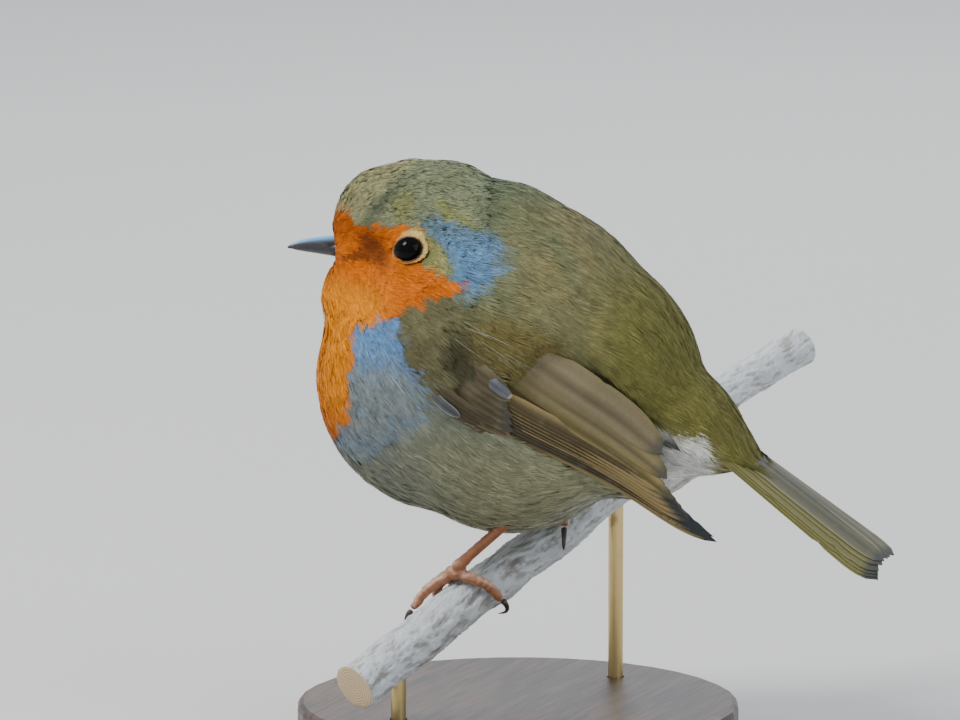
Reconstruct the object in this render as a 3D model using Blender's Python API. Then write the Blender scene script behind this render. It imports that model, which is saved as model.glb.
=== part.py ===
"""A european robin at life size, fluffed into a ball on a cut length of branch over a plain stand.

The bird is laid out in millimetres about the middle of its trunk: +X to the bird's left, +Y to its
rear, +Z up. Every object is then scaled to metres and hung from one empty, so that the stand's foot
lies at the origin. The body is one closed mass, parted by thin plane cuts and pocketed for the wings,
tail, bill, eyes and legs.
"""

import math

import bmesh
import bpy
import numpy as np
from mathutils import Matrix, Vector
from mathutils.bvhtree import BVHTree

MM = 0.001
GAP = 0.3                        # clearance between neighbouring pieces

# Stand, with the bird's trunk carried this far above the surface it stands on.
TRUNK_HEIGHT = 78.0
BASE_RADIUS = 44.0
BASE_THICKNESS = 8.0
BASE_CENTRE = (-2.0, 2.0)
BASE_BEVEL = 1.2
ROD_RADIUS = 1.5
ROD_SOCKET = 5.0                 # how far a rod goes down into the base
ROD_IN_PERCH = 2.4               # how far it goes up into the branch
ROD_STATIONS = (-19.0, 41.0)     # places along the perch

# Perch: a gently bent branch that rises to the bird's right and rear.
PERCH_ORIGIN = (6.4, -5.3)                   # plan place under the left foot
PERCH_HEADING = math.radians(155.7)          # plan direction, from +X
PERCH_SPAN = (-31.0, 94.0)                   # plan distance of its two cut ends
PERCH_RISE = ((-31, -62.0), (-18.6, -56.8), (-8, -52.0), (0, -48.4), (22, -39.6), (48, -26.9),
              (71, -16.2), (94, -8.8))
PERCH_RADIUS = ((-31, 5.0), (-12, 4.8), (0, 4.7), (24, 4.5), (50, 4.2), (94, 4.0))
PERCH_SIDES = 12
PERCH_RINGS = 22
BELLY_SPAN = (-14.0, 46.0)                   # the stretch of it that passes under the belly

# Body masses: centre; half width, half length, half height; drop of the rear end in degrees.
HEAD_CENTRE = Vector((2.0, -16.3, 20.4))
HEAD_YAW = math.radians(20.0)
TRUNK_MASSES = (
    ((0, 0, 0), (29.5, 33, 32), 0),          # trunk
    ((0, -12.5, -5), (26.5, 26, 27), 0),     # breast
    ((0, 1, -9), (26, 27, 26.6), 0),         # belly
    ((0.5, -1.2, 17), (19, 18.4, 18), 0),    # nape
    ((0, 23, 3), (20, 22, 14.5), 52),        # lower back
    ((0, 38.5, -9.5), (11, 15, 8.8), 42),    # rump
    ((0, 50, -17.2), (8, 13, 4.6), 36),      # tail coverts
    ((0, 24, -18.3), (12, 16.5, 8.6), 8),    # vent
)
# Head masses: forward, left and up of the head's centre; half width, half length, half height.
HEAD_MASSES = (
    ((-4, 0, 4.8), (13.4, 13.2, 13.4)),      # back of the head
    ((2, 0, 5.5), (11.8, 11.2, 13.0)),       # crown
    ((7.3, 0, 6.0), (9.8, 10.9, 11.2)),      # forehead
    ((9.8, 0, 0), (8.6, 8.9, 9)),            # face
    ((14.0, 0, 1.0), (4.4, 4.9, 4.9)),       # feathers round the bill
    ((10.6, 0, -9.6), (10.5, 10.3, 9.6)),    # throat
    ((1, 6.4, -5), (8, 10.3, 8.5)),          # left cheek
    ((1, -6.4, -5), (8, 10.3, 8.5)),         # right cheek
)
# Plane cuts that part the body: a point on each plane and the direction it faces.
HEAD_CUT = ((0, 4.0, 29.3), (0.08, -0.585, 0.81))
NECK_CUT = ((0, 10.7, 24.4), (0.04, -0.585, 0.81))
BREAST_CUT = ((0, -9.0, 0), (0, -1, 0))
FLANK_CUT = ((0, 0, -1.0), (0, 0, 1))
RUMP_CUT = ((0, 27.0, -10.0), (0, 0.80, -0.60))
BODY_VOXEL = 1.1
BODY_SMOOTHING = 14
BODY_TRIANGLES = 1500

# Eyes and bill, in the head's own directions.
EYE_PLACE = (2.3, 11.2, 1.7)
EYE_RADIUS = 3.5
EYE_DIRECTION = (0.19, 0.95, 0.24)   # where the left eye looks
OPENING_DISTANCE = 5.6
OPENING_RADIUS = 4.7
BILL_TIP = (27.3, 0.0, 0.6)
BILL_LENGTH = 12.6
BILL_BASE_HALF_WIDTH = 2.1
BILL_UPPER_DEPTH = 3.3
BILL_LOWER_DEPTH = 1.6
GAPE_DROP = 1.2                  # how far the line of the mouth falls from tip to base

# Wings: seen from the side, the chord from wrist to tip and both edges as (distance, width) from it.
WING_WRIST = (-11.5, 8.5)
WING_TIP = (48.0, -33.0)
WING_UPPER = ((0, 0.6), (5, 7), (17, 11.5), (27.7, 18), (38.5, 15.9), (50.7, 12.6), (55, 9),
              (60, 3.8), (67.7, 1.5), (72.5, 0.5))
WING_LOWER = ((0, 0.6), (2, 3.4), (8, 6.4), (14, 6.8), (22, 5), (31, 3.8), (43, 4.2), (53, 3.2),
              (62, 2.1), (68, 1.2), (72.5, 0.5))
# Least distance from the midline, down the wing.
WING_STAND_OFF = ((0, 14), (30, 17), (45, 17), (58, 14.5), (72.5, 11))
WING_PROUD = 1.5
WING_DEPTH = 1.9
RIGHT_WING_LIFT = 11.0           # the far wing is carried higher at its tip
WING_STEPS = 18
WING_ROWS = 5

# Tail: twelve feathers closed into three thin layers.
TAIL_TIP = (0.0, 80.3, -36.8)
TAIL_LENGTH = 52.0
TAIL_DROP = math.radians(34.5)
TAIL_HALF_WIDTH = ((0, 3.8), (18, 6.0), (38, 8.2), (52, 8.6))
TAIL_FORK = 2.0

# Legs and feet.
FOOT_STATIONS = {"left": -0.5, "right": 26.5}     # places along the perch
TARSUS_LENGTH = 25.5
TARSUS_LEAN = {"left": math.radians(48.0), "right": math.radians(32.0)}
TARSUS_RADII = (1.2, 1.0, 1.4)               # foot, middle, ankle
TOE_RADII = (1.15, 0.75)
# Toes: turn round the branch at root and tip in degrees, drift towards the other foot at root and tip,
# length of the claw.
TOES = {
    "inner": (18, 98, 0.8, 3.4, 4.0),
    "middle": (20, 128, -0.4, -2.4, 4.5),
    "outer": (14, 66, -1.2, -8.0, 4.0),
    "hind": (-18, -98, 0.0, 3.2, 5.6),
}
RIGHT_HIND_TURN = -54                        # the right hind toe lies higher on the branch
CLAW_RADIUS = 0.62
CLAW_CURL = 2.9                              # radius of a claw's curve
CLAW_LIFT = math.radians(22.0)               # how far it leaves its toe's own direction


def clear_scene():
    for item in list(bpy.data.objects):
        bpy.data.objects.remove(item, do_unlink=True)


def make_material(name, colour, roughness, metallic=0.0):
    material = bpy.data.materials.new(name)
    material.use_nodes = True
    shader = material.node_tree.nodes["Principled BSDF"]
    shader.inputs["Base Color"].default_value = (*colour, 1.0)
    shader.inputs["Roughness"].default_value = roughness
    shader.inputs["Metallic"].default_value = metallic
    return material


def make_object(name, bm, material=None):
    """Turns a bmesh in millimetres about the trunk into a named object hung from the stand's empty."""
    bmesh.ops.triangulate(bm, faces=bm.faces[:], ngon_method="EAR_CLIP")
    mesh = bpy.data.meshes.new(name)
    bm.to_mesh(mesh)
    bm.free()
    piece = bpy.data.objects.new(name, mesh)
    bpy.context.scene.collection.objects.link(piece)
    if material:
        mesh.materials.append(material)
    return piece


def take_mesh(piece):
    """Reads an object's evaluated mesh into a bmesh and removes the object."""
    bpy.context.view_layer.update()
    graph = bpy.context.evaluated_depsgraph_get()
    bm = bmesh.new()
    bm.from_mesh(piece.evaluated_get(graph).to_mesh())
    bpy.data.objects.remove(piece, do_unlink=True)
    return bm


def apply_modifiers(bm, *modifiers):
    """Runs modifiers, given as (type, settings), over a bmesh and returns the result."""
    piece = make_object("work", bm)
    for kind, settings in modifiers:
        modifier = piece.modifiers.new(kind.title(), kind)
        for key, value in settings.items():
            setattr(modifier, key, value)
    return take_mesh(piece)


def cut(bm, other, solver="EXACT"):
    """Takes one bmesh away from another; the cutter is kept."""
    tool = make_object("tool", other.copy())
    result = apply_modifiers(bm, ("BOOLEAN", {"object": tool, "operation": "DIFFERENCE", "solver": solver}))
    bpy.data.objects.remove(tool, do_unlink=True)
    return largest_island(result)


def largest_island(bm):
    """Keeps the biggest connected body, so that no sliver of a cut is left."""
    unseen = set(bm.faces)
    islands = []
    while unseen:
        start = unseen.pop()
        island = [start]
        stack = [start]
        while stack:
            face = stack.pop()
            for edge in face.edges:
                for other in edge.link_faces:
                    if other in unseen:
                        unseen.discard(other)
                        island.append(other)
                        stack.append(other)
        islands.append(island)
    islands.sort(key=lambda faces: (-sum(f.calc_area() for f in faces), min(f.index for f in faces)))
    spare = [face for island in islands[1:] for face in island]
    bmesh.ops.delete(bm, geom=spare, context="FACES")
    return bm


def through(points, x):
    """A smooth curve through (x, value) points, read at x."""
    knots = np.array(points, float)
    slopes = np.gradient(knots[:, 1], knots[:, 0])
    x = min(max(x, knots[0, 0]), knots[-1, 0])
    i = min(int(np.searchsorted(knots[:, 0], x, side="right")) - 1, len(knots) - 2)
    step = knots[i + 1, 0] - knots[i, 0]
    t = (x - knots[i, 0]) / step
    start = (2 * t**3 - 3 * t**2 + 1) * knots[i, 1] + (t**3 - 2 * t**2 + t) * step * slopes[i]
    end = (3 * t**2 - 2 * t**3) * knots[i + 1, 1] + (t**3 - t**2) * step * slopes[i + 1]
    return float(start + end)


def tube(path, radii, sides):
    """A closed tube along a path of points, with a radius at each point."""
    bm = bmesh.new()
    points = [Vector(p) for p in path]
    rings = []
    side = Vector((0.31, 0.22, 0.93))
    for i, point in enumerate(points):
        along = (points[min(i + 1, len(points) - 1)] - points[max(i - 1, 0)]).normalized()
        side = (side - along * side.dot(along)).normalized()
        across = along.cross(side)
        ring = []
        for k in range(sides):
            angle = 2 * math.pi * k / sides
            offset = side * math.cos(angle) + across * math.sin(angle)
            ring.append(bm.verts.new(point + offset * radii[i]))
        rings.append(ring)
    for a, b in zip(rings, rings[1:]):
        for k in range(sides):
            n = (k + 1) % sides
            bm.faces.new((a[k], a[n], b[n], b[k]))
    bm.faces.new(rings[0][::-1])
    bm.faces.new(rings[-1])
    return bm


def ellipsoid(bm, centre, radii, turn=Matrix.Identity(4), segments=32):
    matrix = Matrix.Translation(centre) @ turn @ Matrix.Diagonal((*radii, 1.0))
    bmesh.ops.create_uvsphere(bm, u_segments=segments, v_segments=segments * 5 // 8, radius=1.0, matrix=matrix)


def head_point(forward, left, up):
    """A place given forward, left and up of the head's centre."""
    turn = Matrix.Rotation(HEAD_YAW, 3, "Z")
    return HEAD_CENTRE + turn @ Vector((left, -forward, up))


# ----------------------------------------------------------------------------------------------------
# Perch and stand


def perch_point(station):
    """The middle of the branch at a plan distance along it."""
    x = PERCH_ORIGIN[0] + station * math.cos(PERCH_HEADING)
    y = PERCH_ORIGIN[1] + station * math.sin(PERCH_HEADING)
    return Vector((x, y, through(PERCH_RISE, station)))


def perch_frame(station):
    """Centre, lengthwise direction, top direction and front direction of the branch at a station."""
    along = (perch_point(station + 0.5) - perch_point(station - 0.5)).normalized()
    top = (Vector((0, 0, 1)) - along * along.z).normalized()
    front = top.cross(along)
    if front.y > 0:
        front.negate()
    return perch_point(station), along, top, front


def perch_tube(extra=0.0, span=PERCH_SPAN, rings=PERCH_RINGS):
    stations = np.linspace(span[0], span[1], rings)
    path = [perch_point(float(s)) for s in stations]
    radii = [through(PERCH_RADIUS, float(s)) + extra for s in stations]
    return tube(path, radii, PERCH_SIDES)


def rod_shape(station, extra=0.0):
    """An upright rod from inside the base to just inside the branch."""
    centre = perch_point(station)
    low = BASE_THICKNESS - TRUNK_HEIGHT - ROD_SOCKET - extra
    high = centre.z - through(PERCH_RADIUS, station) + ROD_IN_PERCH + extra
    radius = ROD_RADIUS + extra
    return tube([(centre.x, centre.y, low), (centre.x, centre.y, high)], [radius, radius], 20)


def build_perch(material):
    bm = perch_tube()
    for station in ROD_STATIONS:
        bm = cut(bm, rod_shape(station, GAP))
    return make_object("perch", bm, material)


def build_stand(base_material, rod_material):
    bm = bmesh.new()
    middle = BASE_THICKNESS / 2 - TRUNK_HEIGHT
    matrix = Matrix.Translation((*BASE_CENTRE, middle))
    bmesh.ops.create_cone(bm, cap_ends=True, segments=40, radius1=BASE_RADIUS, radius2=BASE_RADIUS,
                          depth=BASE_THICKNESS, matrix=matrix)
    upper = [e for e in bm.edges if min(v.co.z for v in e.verts) > middle]
    bmesh.ops.bevel(bm, geom=upper, offset=BASE_BEVEL, segments=2, profile=0.5, affect="EDGES")
    for station in ROD_STATIONS:
        bm = cut(bm, rod_shape(station, GAP))
    make_object("stand_base", bm, base_material)
    for name, station in zip(("front", "rear"), ROD_STATIONS):
        make_object("stand_rod_" + name, rod_shape(station), rod_material)


# ----------------------------------------------------------------------------------------------------
# Body


def body_mass():
    """The whole plumage outline as one closed mesh."""
    bm = bmesh.new()
    for centre, radii, drop in TRUNK_MASSES:
        ellipsoid(bm, centre, radii, Matrix.Rotation(-math.radians(drop), 4, "X"))
    for place, radii in HEAD_MASSES:
        ellipsoid(bm, head_point(*place), radii, Matrix.Rotation(HEAD_YAW, 4, "Z"))
    remesh = {"mode": "VOXEL", "voxel_size": BODY_VOXEL}
    bm = apply_modifiers(bm, ("REMESH", remesh), ("SMOOTH", {"factor": 0.5, "iterations": BODY_SMOOTHING}))
    bm = largest_island(bm)
    ratio = BODY_TRIANGLES / (2 * len(bm.faces))
    return apply_modifiers(bm, ("DECIMATE", {"ratio": ratio}))


def slice_between(bm, planes):
    """Keeps what lies on the positive side of every plane, with each cut capped."""
    bm = bm.copy()
    for point, normal in planes:
        normal = Vector(normal).normalized()
        place = Vector(point) + normal * GAP / 2
        geometry = bm.verts[:] + bm.edges[:] + bm.faces[:]
        bmesh.ops.bisect_plane(bm, geom=geometry, plane_co=place, plane_no=normal, clear_inner=True)
        rim = [e for e in bm.edges if e.is_boundary]
        bmesh.ops.holes_fill(bm, edges=rim, sides=0)
    bmesh.ops.triangulate(bm, faces=bm.faces[:], ngon_method="EAR_CLIP")
    return bm


def flipped(plane):
    point, normal = plane
    return point, tuple(-value for value in normal)


def part_body(whole):
    """Parts the plumage by plane cuts into the regions that a person would name."""
    below = (flipped(HEAD_CUT), flipped(NECK_CUT))
    middle = (*below, flipped(BREAST_CUT), flipped(RUMP_CUT))
    return {
        "head": slice_between(whole, (HEAD_CUT,)),
        "neck": slice_between(whole, (flipped(HEAD_CUT), NECK_CUT)),
        "breast": slice_between(whole, (*below, BREAST_CUT)),
        "back": slice_between(whole, (*middle, FLANK_CUT)),
        "belly": slice_between(whole, (*middle, flipped(FLANK_CUT))),
        "rump": slice_between(whole, (*below, RUMP_CUT)),
    }


# ----------------------------------------------------------------------------------------------------
# Head pieces


def eye_place(side):
    forward, left, up = EYE_PLACE
    return head_point(forward, left * side, up)


def eye_shape(side, extra=0.0):
    bm = bmesh.new()
    ellipsoid(bm, eye_place(side), [EYE_RADIUS + extra] * 3, segments=12)
    return bm


def eye_opening(side):
    """The hollow in the feathers in front of the eye."""
    bm = bmesh.new()
    place = [eye + OPENING_DISTANCE * look for eye, look in zip(EYE_PLACE, EYE_DIRECTION)]
    ellipsoid(bm, head_point(place[0], place[1] * side, place[2]), [OPENING_RADIUS] * 3, segments=16)
    return bm


def bill_shape(part, extra=0.0):
    """One mandible: half-round sections that taper from the forehead to the tip."""
    bm = bmesh.new()
    upper = part == "upper"
    depth = BILL_UPPER_DEPTH if upper else BILL_LOWER_DEPTH
    sign = 1 if upper else -1
    length = BILL_LENGTH if upper else BILL_LENGTH - 0.5
    back = BILL_TIP[0] - BILL_LENGTH - extra
    rings = []
    count, arc = 8, 7
    for i in range(count):
        t = i / (count - 1)
        taper = 0.05 + 0.95 * (1 - t) ** 0.65
        half = BILL_BASE_HALF_WIDTH * taper + 1.2 * extra
        tall = depth * taper + 2 * extra
        droop = 0.3 * t**4
        level = BILL_TIP[2] - GAPE_DROP * (1 - t) - droop + sign * (GAP / 2 - extra)
        ring = []
        for k in range(arc):
            angle = math.pi * k / (arc - 1)
            forward = back + (length + 2 * extra) * t
            place = head_point(forward, half * math.cos(angle), level + sign * tall * math.sin(angle))
            ring.append(bm.verts.new(place))
        rings.append(ring)
    for a, b in zip(rings, rings[1:]):
        for k in range(arc):
            n = (k + 1) % arc
            bm.faces.new((a[k], a[n], b[n], b[k]))
    bm.faces.new(rings[0][::-1])
    bm.faces.new(rings[-1])
    bmesh.ops.recalc_face_normals(bm, faces=bm.faces[:])
    return bm


# ----------------------------------------------------------------------------------------------------
# Wings


def wing_point(distance, across, side, lift):
    """A place in the wing's outline, seen from the side, as (y, z)."""
    span = np.subtract(WING_TIP, WING_WRIST)
    chord = span / np.hypot(*span)
    upward = np.array((-chord[1], chord[0]))
    y, z = np.add(WING_WRIST, chord * distance + upward * across)
    return float(y), float(z) + lift * (max(distance, 0.0) / float(np.hypot(*span))) ** 1.3


def wing_places(side, margin=0.0):
    """A grid over the wing's outline, as (y, z), let out by a margin all round."""
    lift = RIGHT_WING_LIFT if side < 0 else 0.0
    places = np.zeros((WING_STEPS + 1, WING_ROWS + 1, 2))
    for i in range(WING_STEPS + 1):
        distance = wing_length() * i / WING_STEPS
        upper = through(WING_UPPER, distance) + margin
        lower = through(WING_LOWER, distance) + margin
        for k in range(WING_ROWS + 1):
            across = -lower + (upper + lower) * k / WING_ROWS
            outward = margin * (2 * i / WING_STEPS - 1)
            places[i, k] = wing_point(distance + outward, across, side, lift)
    return places


def wing_reach(tree, places, side):
    """How far out from the midline the plumage stands at each place, smoothed over the wing."""
    reach = np.zeros(places.shape[:2])
    for i, row in enumerate(places):
        for k, (y, z) in enumerate(row):
            hit = tree.ray_cast(Vector((80 * side, y, z)), Vector((-side, 0, 0)))
            reach[i, k] = abs(hit[0].x) if hit[0] else 0.0
            distance = wing_length() * i / WING_STEPS
            least = through(WING_STAND_OFF, distance) - 3.0 * (2 * k / WING_ROWS - 1) ** 2
            reach[i, k] = max(reach[i, k], least)
    for _ in range(3):
        padded = np.pad(reach, 1, mode="edge")
        reach = (padded[:-2, 1:-1] + padded[2:, 1:-1] + padded[1:-1, :-2] + padded[1:-1, 2:] + 4 * reach) / 8
    return reach


def wing_length():
    return float(np.hypot(*np.subtract(WING_TIP, WING_WRIST)))


def wing_shape(tree, side, extra=0.0):
    """A wing folded on the body: a thin plate that follows the plumage and leaves it towards the tip."""
    reach = wing_reach(tree, wing_places(side), side)
    places = wing_places(side, 1.5 * extra)
    tops, lows = [], []
    for i in range(WING_STEPS + 1):
        t = i / WING_STEPS
        depth = WING_DEPTH * (1 - 0.55 * t)
        top_row, low_row = [], []
        for k in range(WING_ROWS + 1):
            y, z = places[i, k]
            edge = max(math.sin(math.pi * k / WING_ROWS), 0.0) ** 0.5
            proud = WING_PROUD * (0.35 + 0.65 * edge) * (1 - 0.35 * t)
            top_row.append((side * (reach[i, k] + proud + 8 * extra), y, z))
            low_row.append((side * (reach[i, k] + proud - depth - 4 * extra), y, z))
        tops.append(top_row)
        lows.append(low_row)
    return plate(tops, lows)


def plate(tops, lows):
    """A closed plate between two grids of points of the same size."""
    bm = bmesh.new()
    tops = [[bm.verts.new(p) for p in row] for row in tops]
    lows = [[bm.verts.new(p) for p in row] for row in lows]
    steps, rows = len(tops) - 1, len(tops[0]) - 1
    for grid, order in ((tops, 1), (lows, -1)):
        for a, b in zip(grid, grid[1:]):
            for k in range(rows):
                bm.faces.new((a[k], a[k + 1], b[k + 1], b[k])[::order])
    rim = [(i, 0) for i in range(steps)] + [(steps, k) for k in range(rows)]
    rim += [(i, rows) for i in range(steps, 0, -1)] + [(0, k) for k in range(rows, 0, -1)]
    for (i, k), (m, n) in zip(rim, rim[1:] + rim[:1]):
        bm.faces.new((tops[i][k], tops[m][n], lows[m][n], lows[i][k]))
    bmesh.ops.recalc_face_normals(bm, faces=bm.faces[:])
    return bm


def wing_regions(side):
    """Planes that part a wing into its coverts, tertials and flight feathers."""
    y, z = wing_point(25.0, 0.0, side, 0.0)
    span = np.subtract(WING_TIP, WING_WRIST)
    chord = span / np.hypot(*span)
    covert = ((0, y, z), (0, -chord[0], -chord[1]))
    low_y, low_z = wing_point(25.0, 6.4, side, 0.0)
    slope = chord if side > 0 else chord + np.array((0, 0.16))
    tertial = ((0, low_y, low_z), (0, -slope[1], slope[0]))
    return {
        "wing_coverts": (covert,),
        "wing_tertials": (flipped(covert), tertial),
        "wing_primaries": (flipped(covert), flipped(tertial)),
    }


# ----------------------------------------------------------------------------------------------------
# Tail


def tail_layer(first, last, offset, thickness, extra=0.0):
    """A layer of tail feathers between two shares of the width, as a thin plate down the tail."""
    along = Vector((0, math.cos(TAIL_DROP), -math.sin(TAIL_DROP)))
    upward = Vector((0, math.sin(TAIL_DROP), math.cos(TAIL_DROP)))
    root = Vector(TAIL_TIP) - along * TAIL_LENGTH
    tops, lows = [], []
    steps, rows = 8, 3
    for i in range(steps + 1):
        t = i / steps
        top_row, low_row = [], []
        for k in range(rows + 1):
            share = first + (last - first) * k / rows
            rounding = 1.4 * max(abs(share) - 0.8, 0) / 0.2
            reach = TAIL_LENGTH - TAIL_FORK * (1 - abs(share)) ** 2 - rounding
            distance = -extra + (reach + 2 * extra) * t
            x = through(TAIL_HALF_WIDTH, distance) * share + extra * (2 * k / rows - 1)
            arch = -0.9 * share**2
            place = root + along * distance + Vector((x, 0, 0)) + upward * (offset * (1 - 0.35 * t) + arch)
            half = thickness / 2 * (1 - 0.45 * t) + extra
            top_row.append(place + upward * half)
            low_row.append(place - upward * half)
        tops.append(top_row)
        lows.append(low_row)
    return plate(tops, lows)


TAIL_LAYERS = {
    "tail_centre": (-0.62, 0.62, 1.15, 1.0),
    "tail_side_left": (0.02, 1.0, -0.35, 1.3),
    "tail_side_right": (-1.0, -0.02, -0.35, 1.3),
}
TAIL_SOCKET = (-1.0, 1.0, 0.3, 2.8)


# ----------------------------------------------------------------------------------------------------
# Legs


def toe_radius(station):
    """How far from the branch's middle a toe's own middle runs."""
    return through(PERCH_RADIUS, station) + TOE_RADII[0] + GAP


def toe_point(side, toe, share):
    """A place on the curve that wraps a toe round the branch, at a share of its length."""
    turn_root, turn_tip, drift_root, drift_tip, _ = TOES[toe]
    if (side, toe) == ("right", "hind"):
        turn_tip = RIGHT_HIND_TURN
    station = FOOT_STATIONS[side]
    inward = 1 if side == "left" else -1
    place = station + inward * (drift_root + (drift_tip - drift_root) * share)
    angle = math.radians(turn_root + (turn_tip - turn_root) * share)
    centre, along, top, front = perch_frame(place)
    lift = toe_radius(place) + 0.3 * math.sin(math.pi * min(max(share, 0.0), 1.0))
    return centre + (top * math.cos(angle) + front * math.sin(angle)) * lift


def foot_shape(side):
    """Four toes joined at the ball of the foot."""
    bm = bmesh.new()
    for toe in TOES:
        path = [toe_point(side, toe, i / 8) for i in range(9)]
        radii = [TOE_RADII[0] + (TOE_RADII[1] - TOE_RADII[0]) * i / 8 for i in range(9)]
        add_to(bm, tube(path, radii, 8))
    station = FOOT_STATIONS[side]
    centre, along, top, front = perch_frame(station)
    ellipsoid(bm, centre + top * (toe_radius(station) + 0.35), (1.7, 2.4, 1.3), segments=12)
    bm = apply_modifiers(bm, ("REMESH", {"mode": "VOXEL", "voxel_size": 0.38}),
                         ("SMOOTH", {"factor": 0.4, "iterations": 2}), ("DECIMATE", {"ratio": 0.06}))
    return largest_island(bm)


def add_to(bm, other):
    mesh = bpy.data.meshes.new("joined")
    other.to_mesh(mesh)
    other.free()
    bm.from_mesh(mesh)
    bpy.data.meshes.remove(mesh)


def claw_shape(side, toe):
    """A claw that follows on from its toe and curls under the branch to a point."""
    tip = toe_point(side, toe, 1.0)
    forward = (tip - toe_point(side, toe, 0.9)).normalized()
    inward = perch_point(FOOT_STATIONS[side]) - tip
    inward = (inward - forward * inward.dot(forward)).normalized()
    start = forward * math.cos(CLAW_LIFT) - inward * math.sin(CLAW_LIFT)
    curl = inward * math.cos(CLAW_LIFT) + forward * math.sin(CLAW_LIFT)
    root = tip + forward * (TOE_RADII[1] * 0.75 + GAP)
    path, radii = [], []
    for i in range(6):
        angle = TOES[toe][4] / CLAW_CURL * i / 5
        path.append(root + start * math.sin(angle) * CLAW_CURL + curl * (1 - math.cos(angle)) * CLAW_CURL)
        radii.append(CLAW_RADIUS * (1 - 0.84 * i / 5))
    return tube(path, radii, 6)


def tarsus_shape(side, extra=0.0):
    """The bare shank, leaning back from the ball of the foot up into the belly."""
    station = FOOT_STATIONS[side]
    centre, along, top, front = perch_frame(station)
    foot = centre + top * (toe_radius(station) + 1.6) - front * 0.4
    shank = Vector((0, math.sin(TARSUS_LEAN[side]), math.cos(TARSUS_LEAN[side]))) * TARSUS_LENGTH
    slim, thick = TARSUS_RADII[1], TARSUS_RADII[1] * 1.15
    profile = ((0.0, TARSUS_RADII[0]), (0.12, slim), (0.5, slim), (0.85, thick), (1.0, TARSUS_RADII[2]))
    return tube([foot + shank * t for t, _ in profile], [radius + extra for _, radius in profile], 10)


# ----------------------------------------------------------------------------------------------------
# Assembly


def build_bird(materials):
    whole = body_mass()
    tree = BVHTree.FromBMesh(whole)
    pieces = part_body(whole)
    cutters = []
    for side, word in ((1, "left"), (-1, "right")):
        wing = wing_shape(tree, side)
        cutters.append(("breast back belly rump neck", wing_shape(tree, side, GAP)))
        for name, planes in wing_regions(side).items():
            make_object(name + "_" + word, largest_island(slice_between(wing, planes)), materials["wing"])
        cutters.append(("head", eye_shape(side, GAP)))
        cutters.append(("head", eye_opening(side)))
        make_object("eye_" + word, eye_shape(side), materials["eye"])
        cutters.append(("belly breast", tarsus_shape(word, GAP)))
        foot = foot_shape(word)
        leg = cut(tarsus_shape(word), fattened(foot, GAP))
        make_object("tarsus_" + word, leg, materials["leg"])
        make_object("foot_" + word, foot, materials["leg"])
        for toe in TOES:
            make_object("claw_" + toe + "_" + word, claw_shape(word, toe), materials["claw"])
    for name, (first, last, offset, thickness) in TAIL_LAYERS.items():
        make_object(name, tail_layer(first, last, offset, thickness), materials["tail"])
    cutters.append(("rump", tail_layer(*TAIL_SOCKET, GAP)))
    for part in ("upper", "lower"):
        make_object("bill_" + part, bill_shape(part), materials["bill"])
        cutters.append(("head", bill_shape(part, GAP)))
    cutters.append(("belly breast rump", perch_tube(2 * TOE_RADII[0] + 2 * GAP, BELLY_SPAN, 9)))
    # A thin pocket that grazes a plane cut leaves open edges under the exact solver, not under this one.
    for names, cutter in cutters:
        for name in names.split():
            pieces[name] = cut(pieces[name], cutter, "MANIFOLD")
    for name, bm in pieces.items():
        make_object(name, bm, materials["plumage_" + name])


def fattened(bm, extra):
    """A copy of a small mesh pushed out along its normals, as a cutter."""
    copy = bm.copy()
    copy.normal_update()
    for vertex in copy.verts:
        vertex.co += vertex.normal * extra
    return copy


def settle():
    """Scales everything to metres and hangs it above the stand's foot."""
    anchor = bpy.data.objects.new("trunk_centre", None)
    bpy.context.scene.collection.objects.link(anchor)
    anchor.location = (0, 0, TRUNK_HEIGHT * MM)
    for piece in bpy.context.scene.objects:
        if piece.type != "MESH":
            continue
        piece.data.transform(Matrix.Scale(MM, 4))
        piece.data.shade_smooth()
        piece.data.set_sharp_from_angle(angle=math.radians(40))
        piece.parent = anchor


def main():
    clear_scene()
    materials = {
        "plumage_head": make_material("head plumage", (0.30, 0.16, 0.05), 0.8),
        "plumage_neck": make_material("neck plumage", (0.16, 0.20, 0.20), 0.8),
        "plumage_breast": make_material("breast plumage", (0.42, 0.17, 0.03), 0.8),
        "plumage_back": make_material("back plumage", (0.13, 0.14, 0.07), 0.8),
        "plumage_belly": make_material("belly plumage", (0.20, 0.22, 0.17), 0.8),
        "plumage_rump": make_material("rump plumage", (0.14, 0.13, 0.05), 0.8),
        "wing": make_material("wing feathers", (0.14, 0.11, 0.05), 0.7),
        "tail": make_material("tail feathers", (0.14, 0.13, 0.09), 0.7),
        "bill": make_material("bill horn", (0.03, 0.035, 0.045), 0.35),
        "eye": make_material("eye", (0.004, 0.003, 0.003), 0.05),
        "leg": make_material("leg scutes", (0.26, 0.12, 0.06), 0.5),
        "claw": make_material("claw horn", (0.02, 0.015, 0.012), 0.3),
    }
    build_bird(materials)
    build_perch(make_material("bark", (0.55, 0.55, 0.53), 0.85))
    base_material = make_material("stand base", (0.10, 0.07, 0.05), 0.4)
    build_stand(base_material, make_material("rod", (0.35, 0.28, 0.16), 0.3, 1.0))
    settle()


main()
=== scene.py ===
import math

import bpy
import numpy as np
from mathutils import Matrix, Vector
from mathutils.bvhtree import BVHTree


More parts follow.
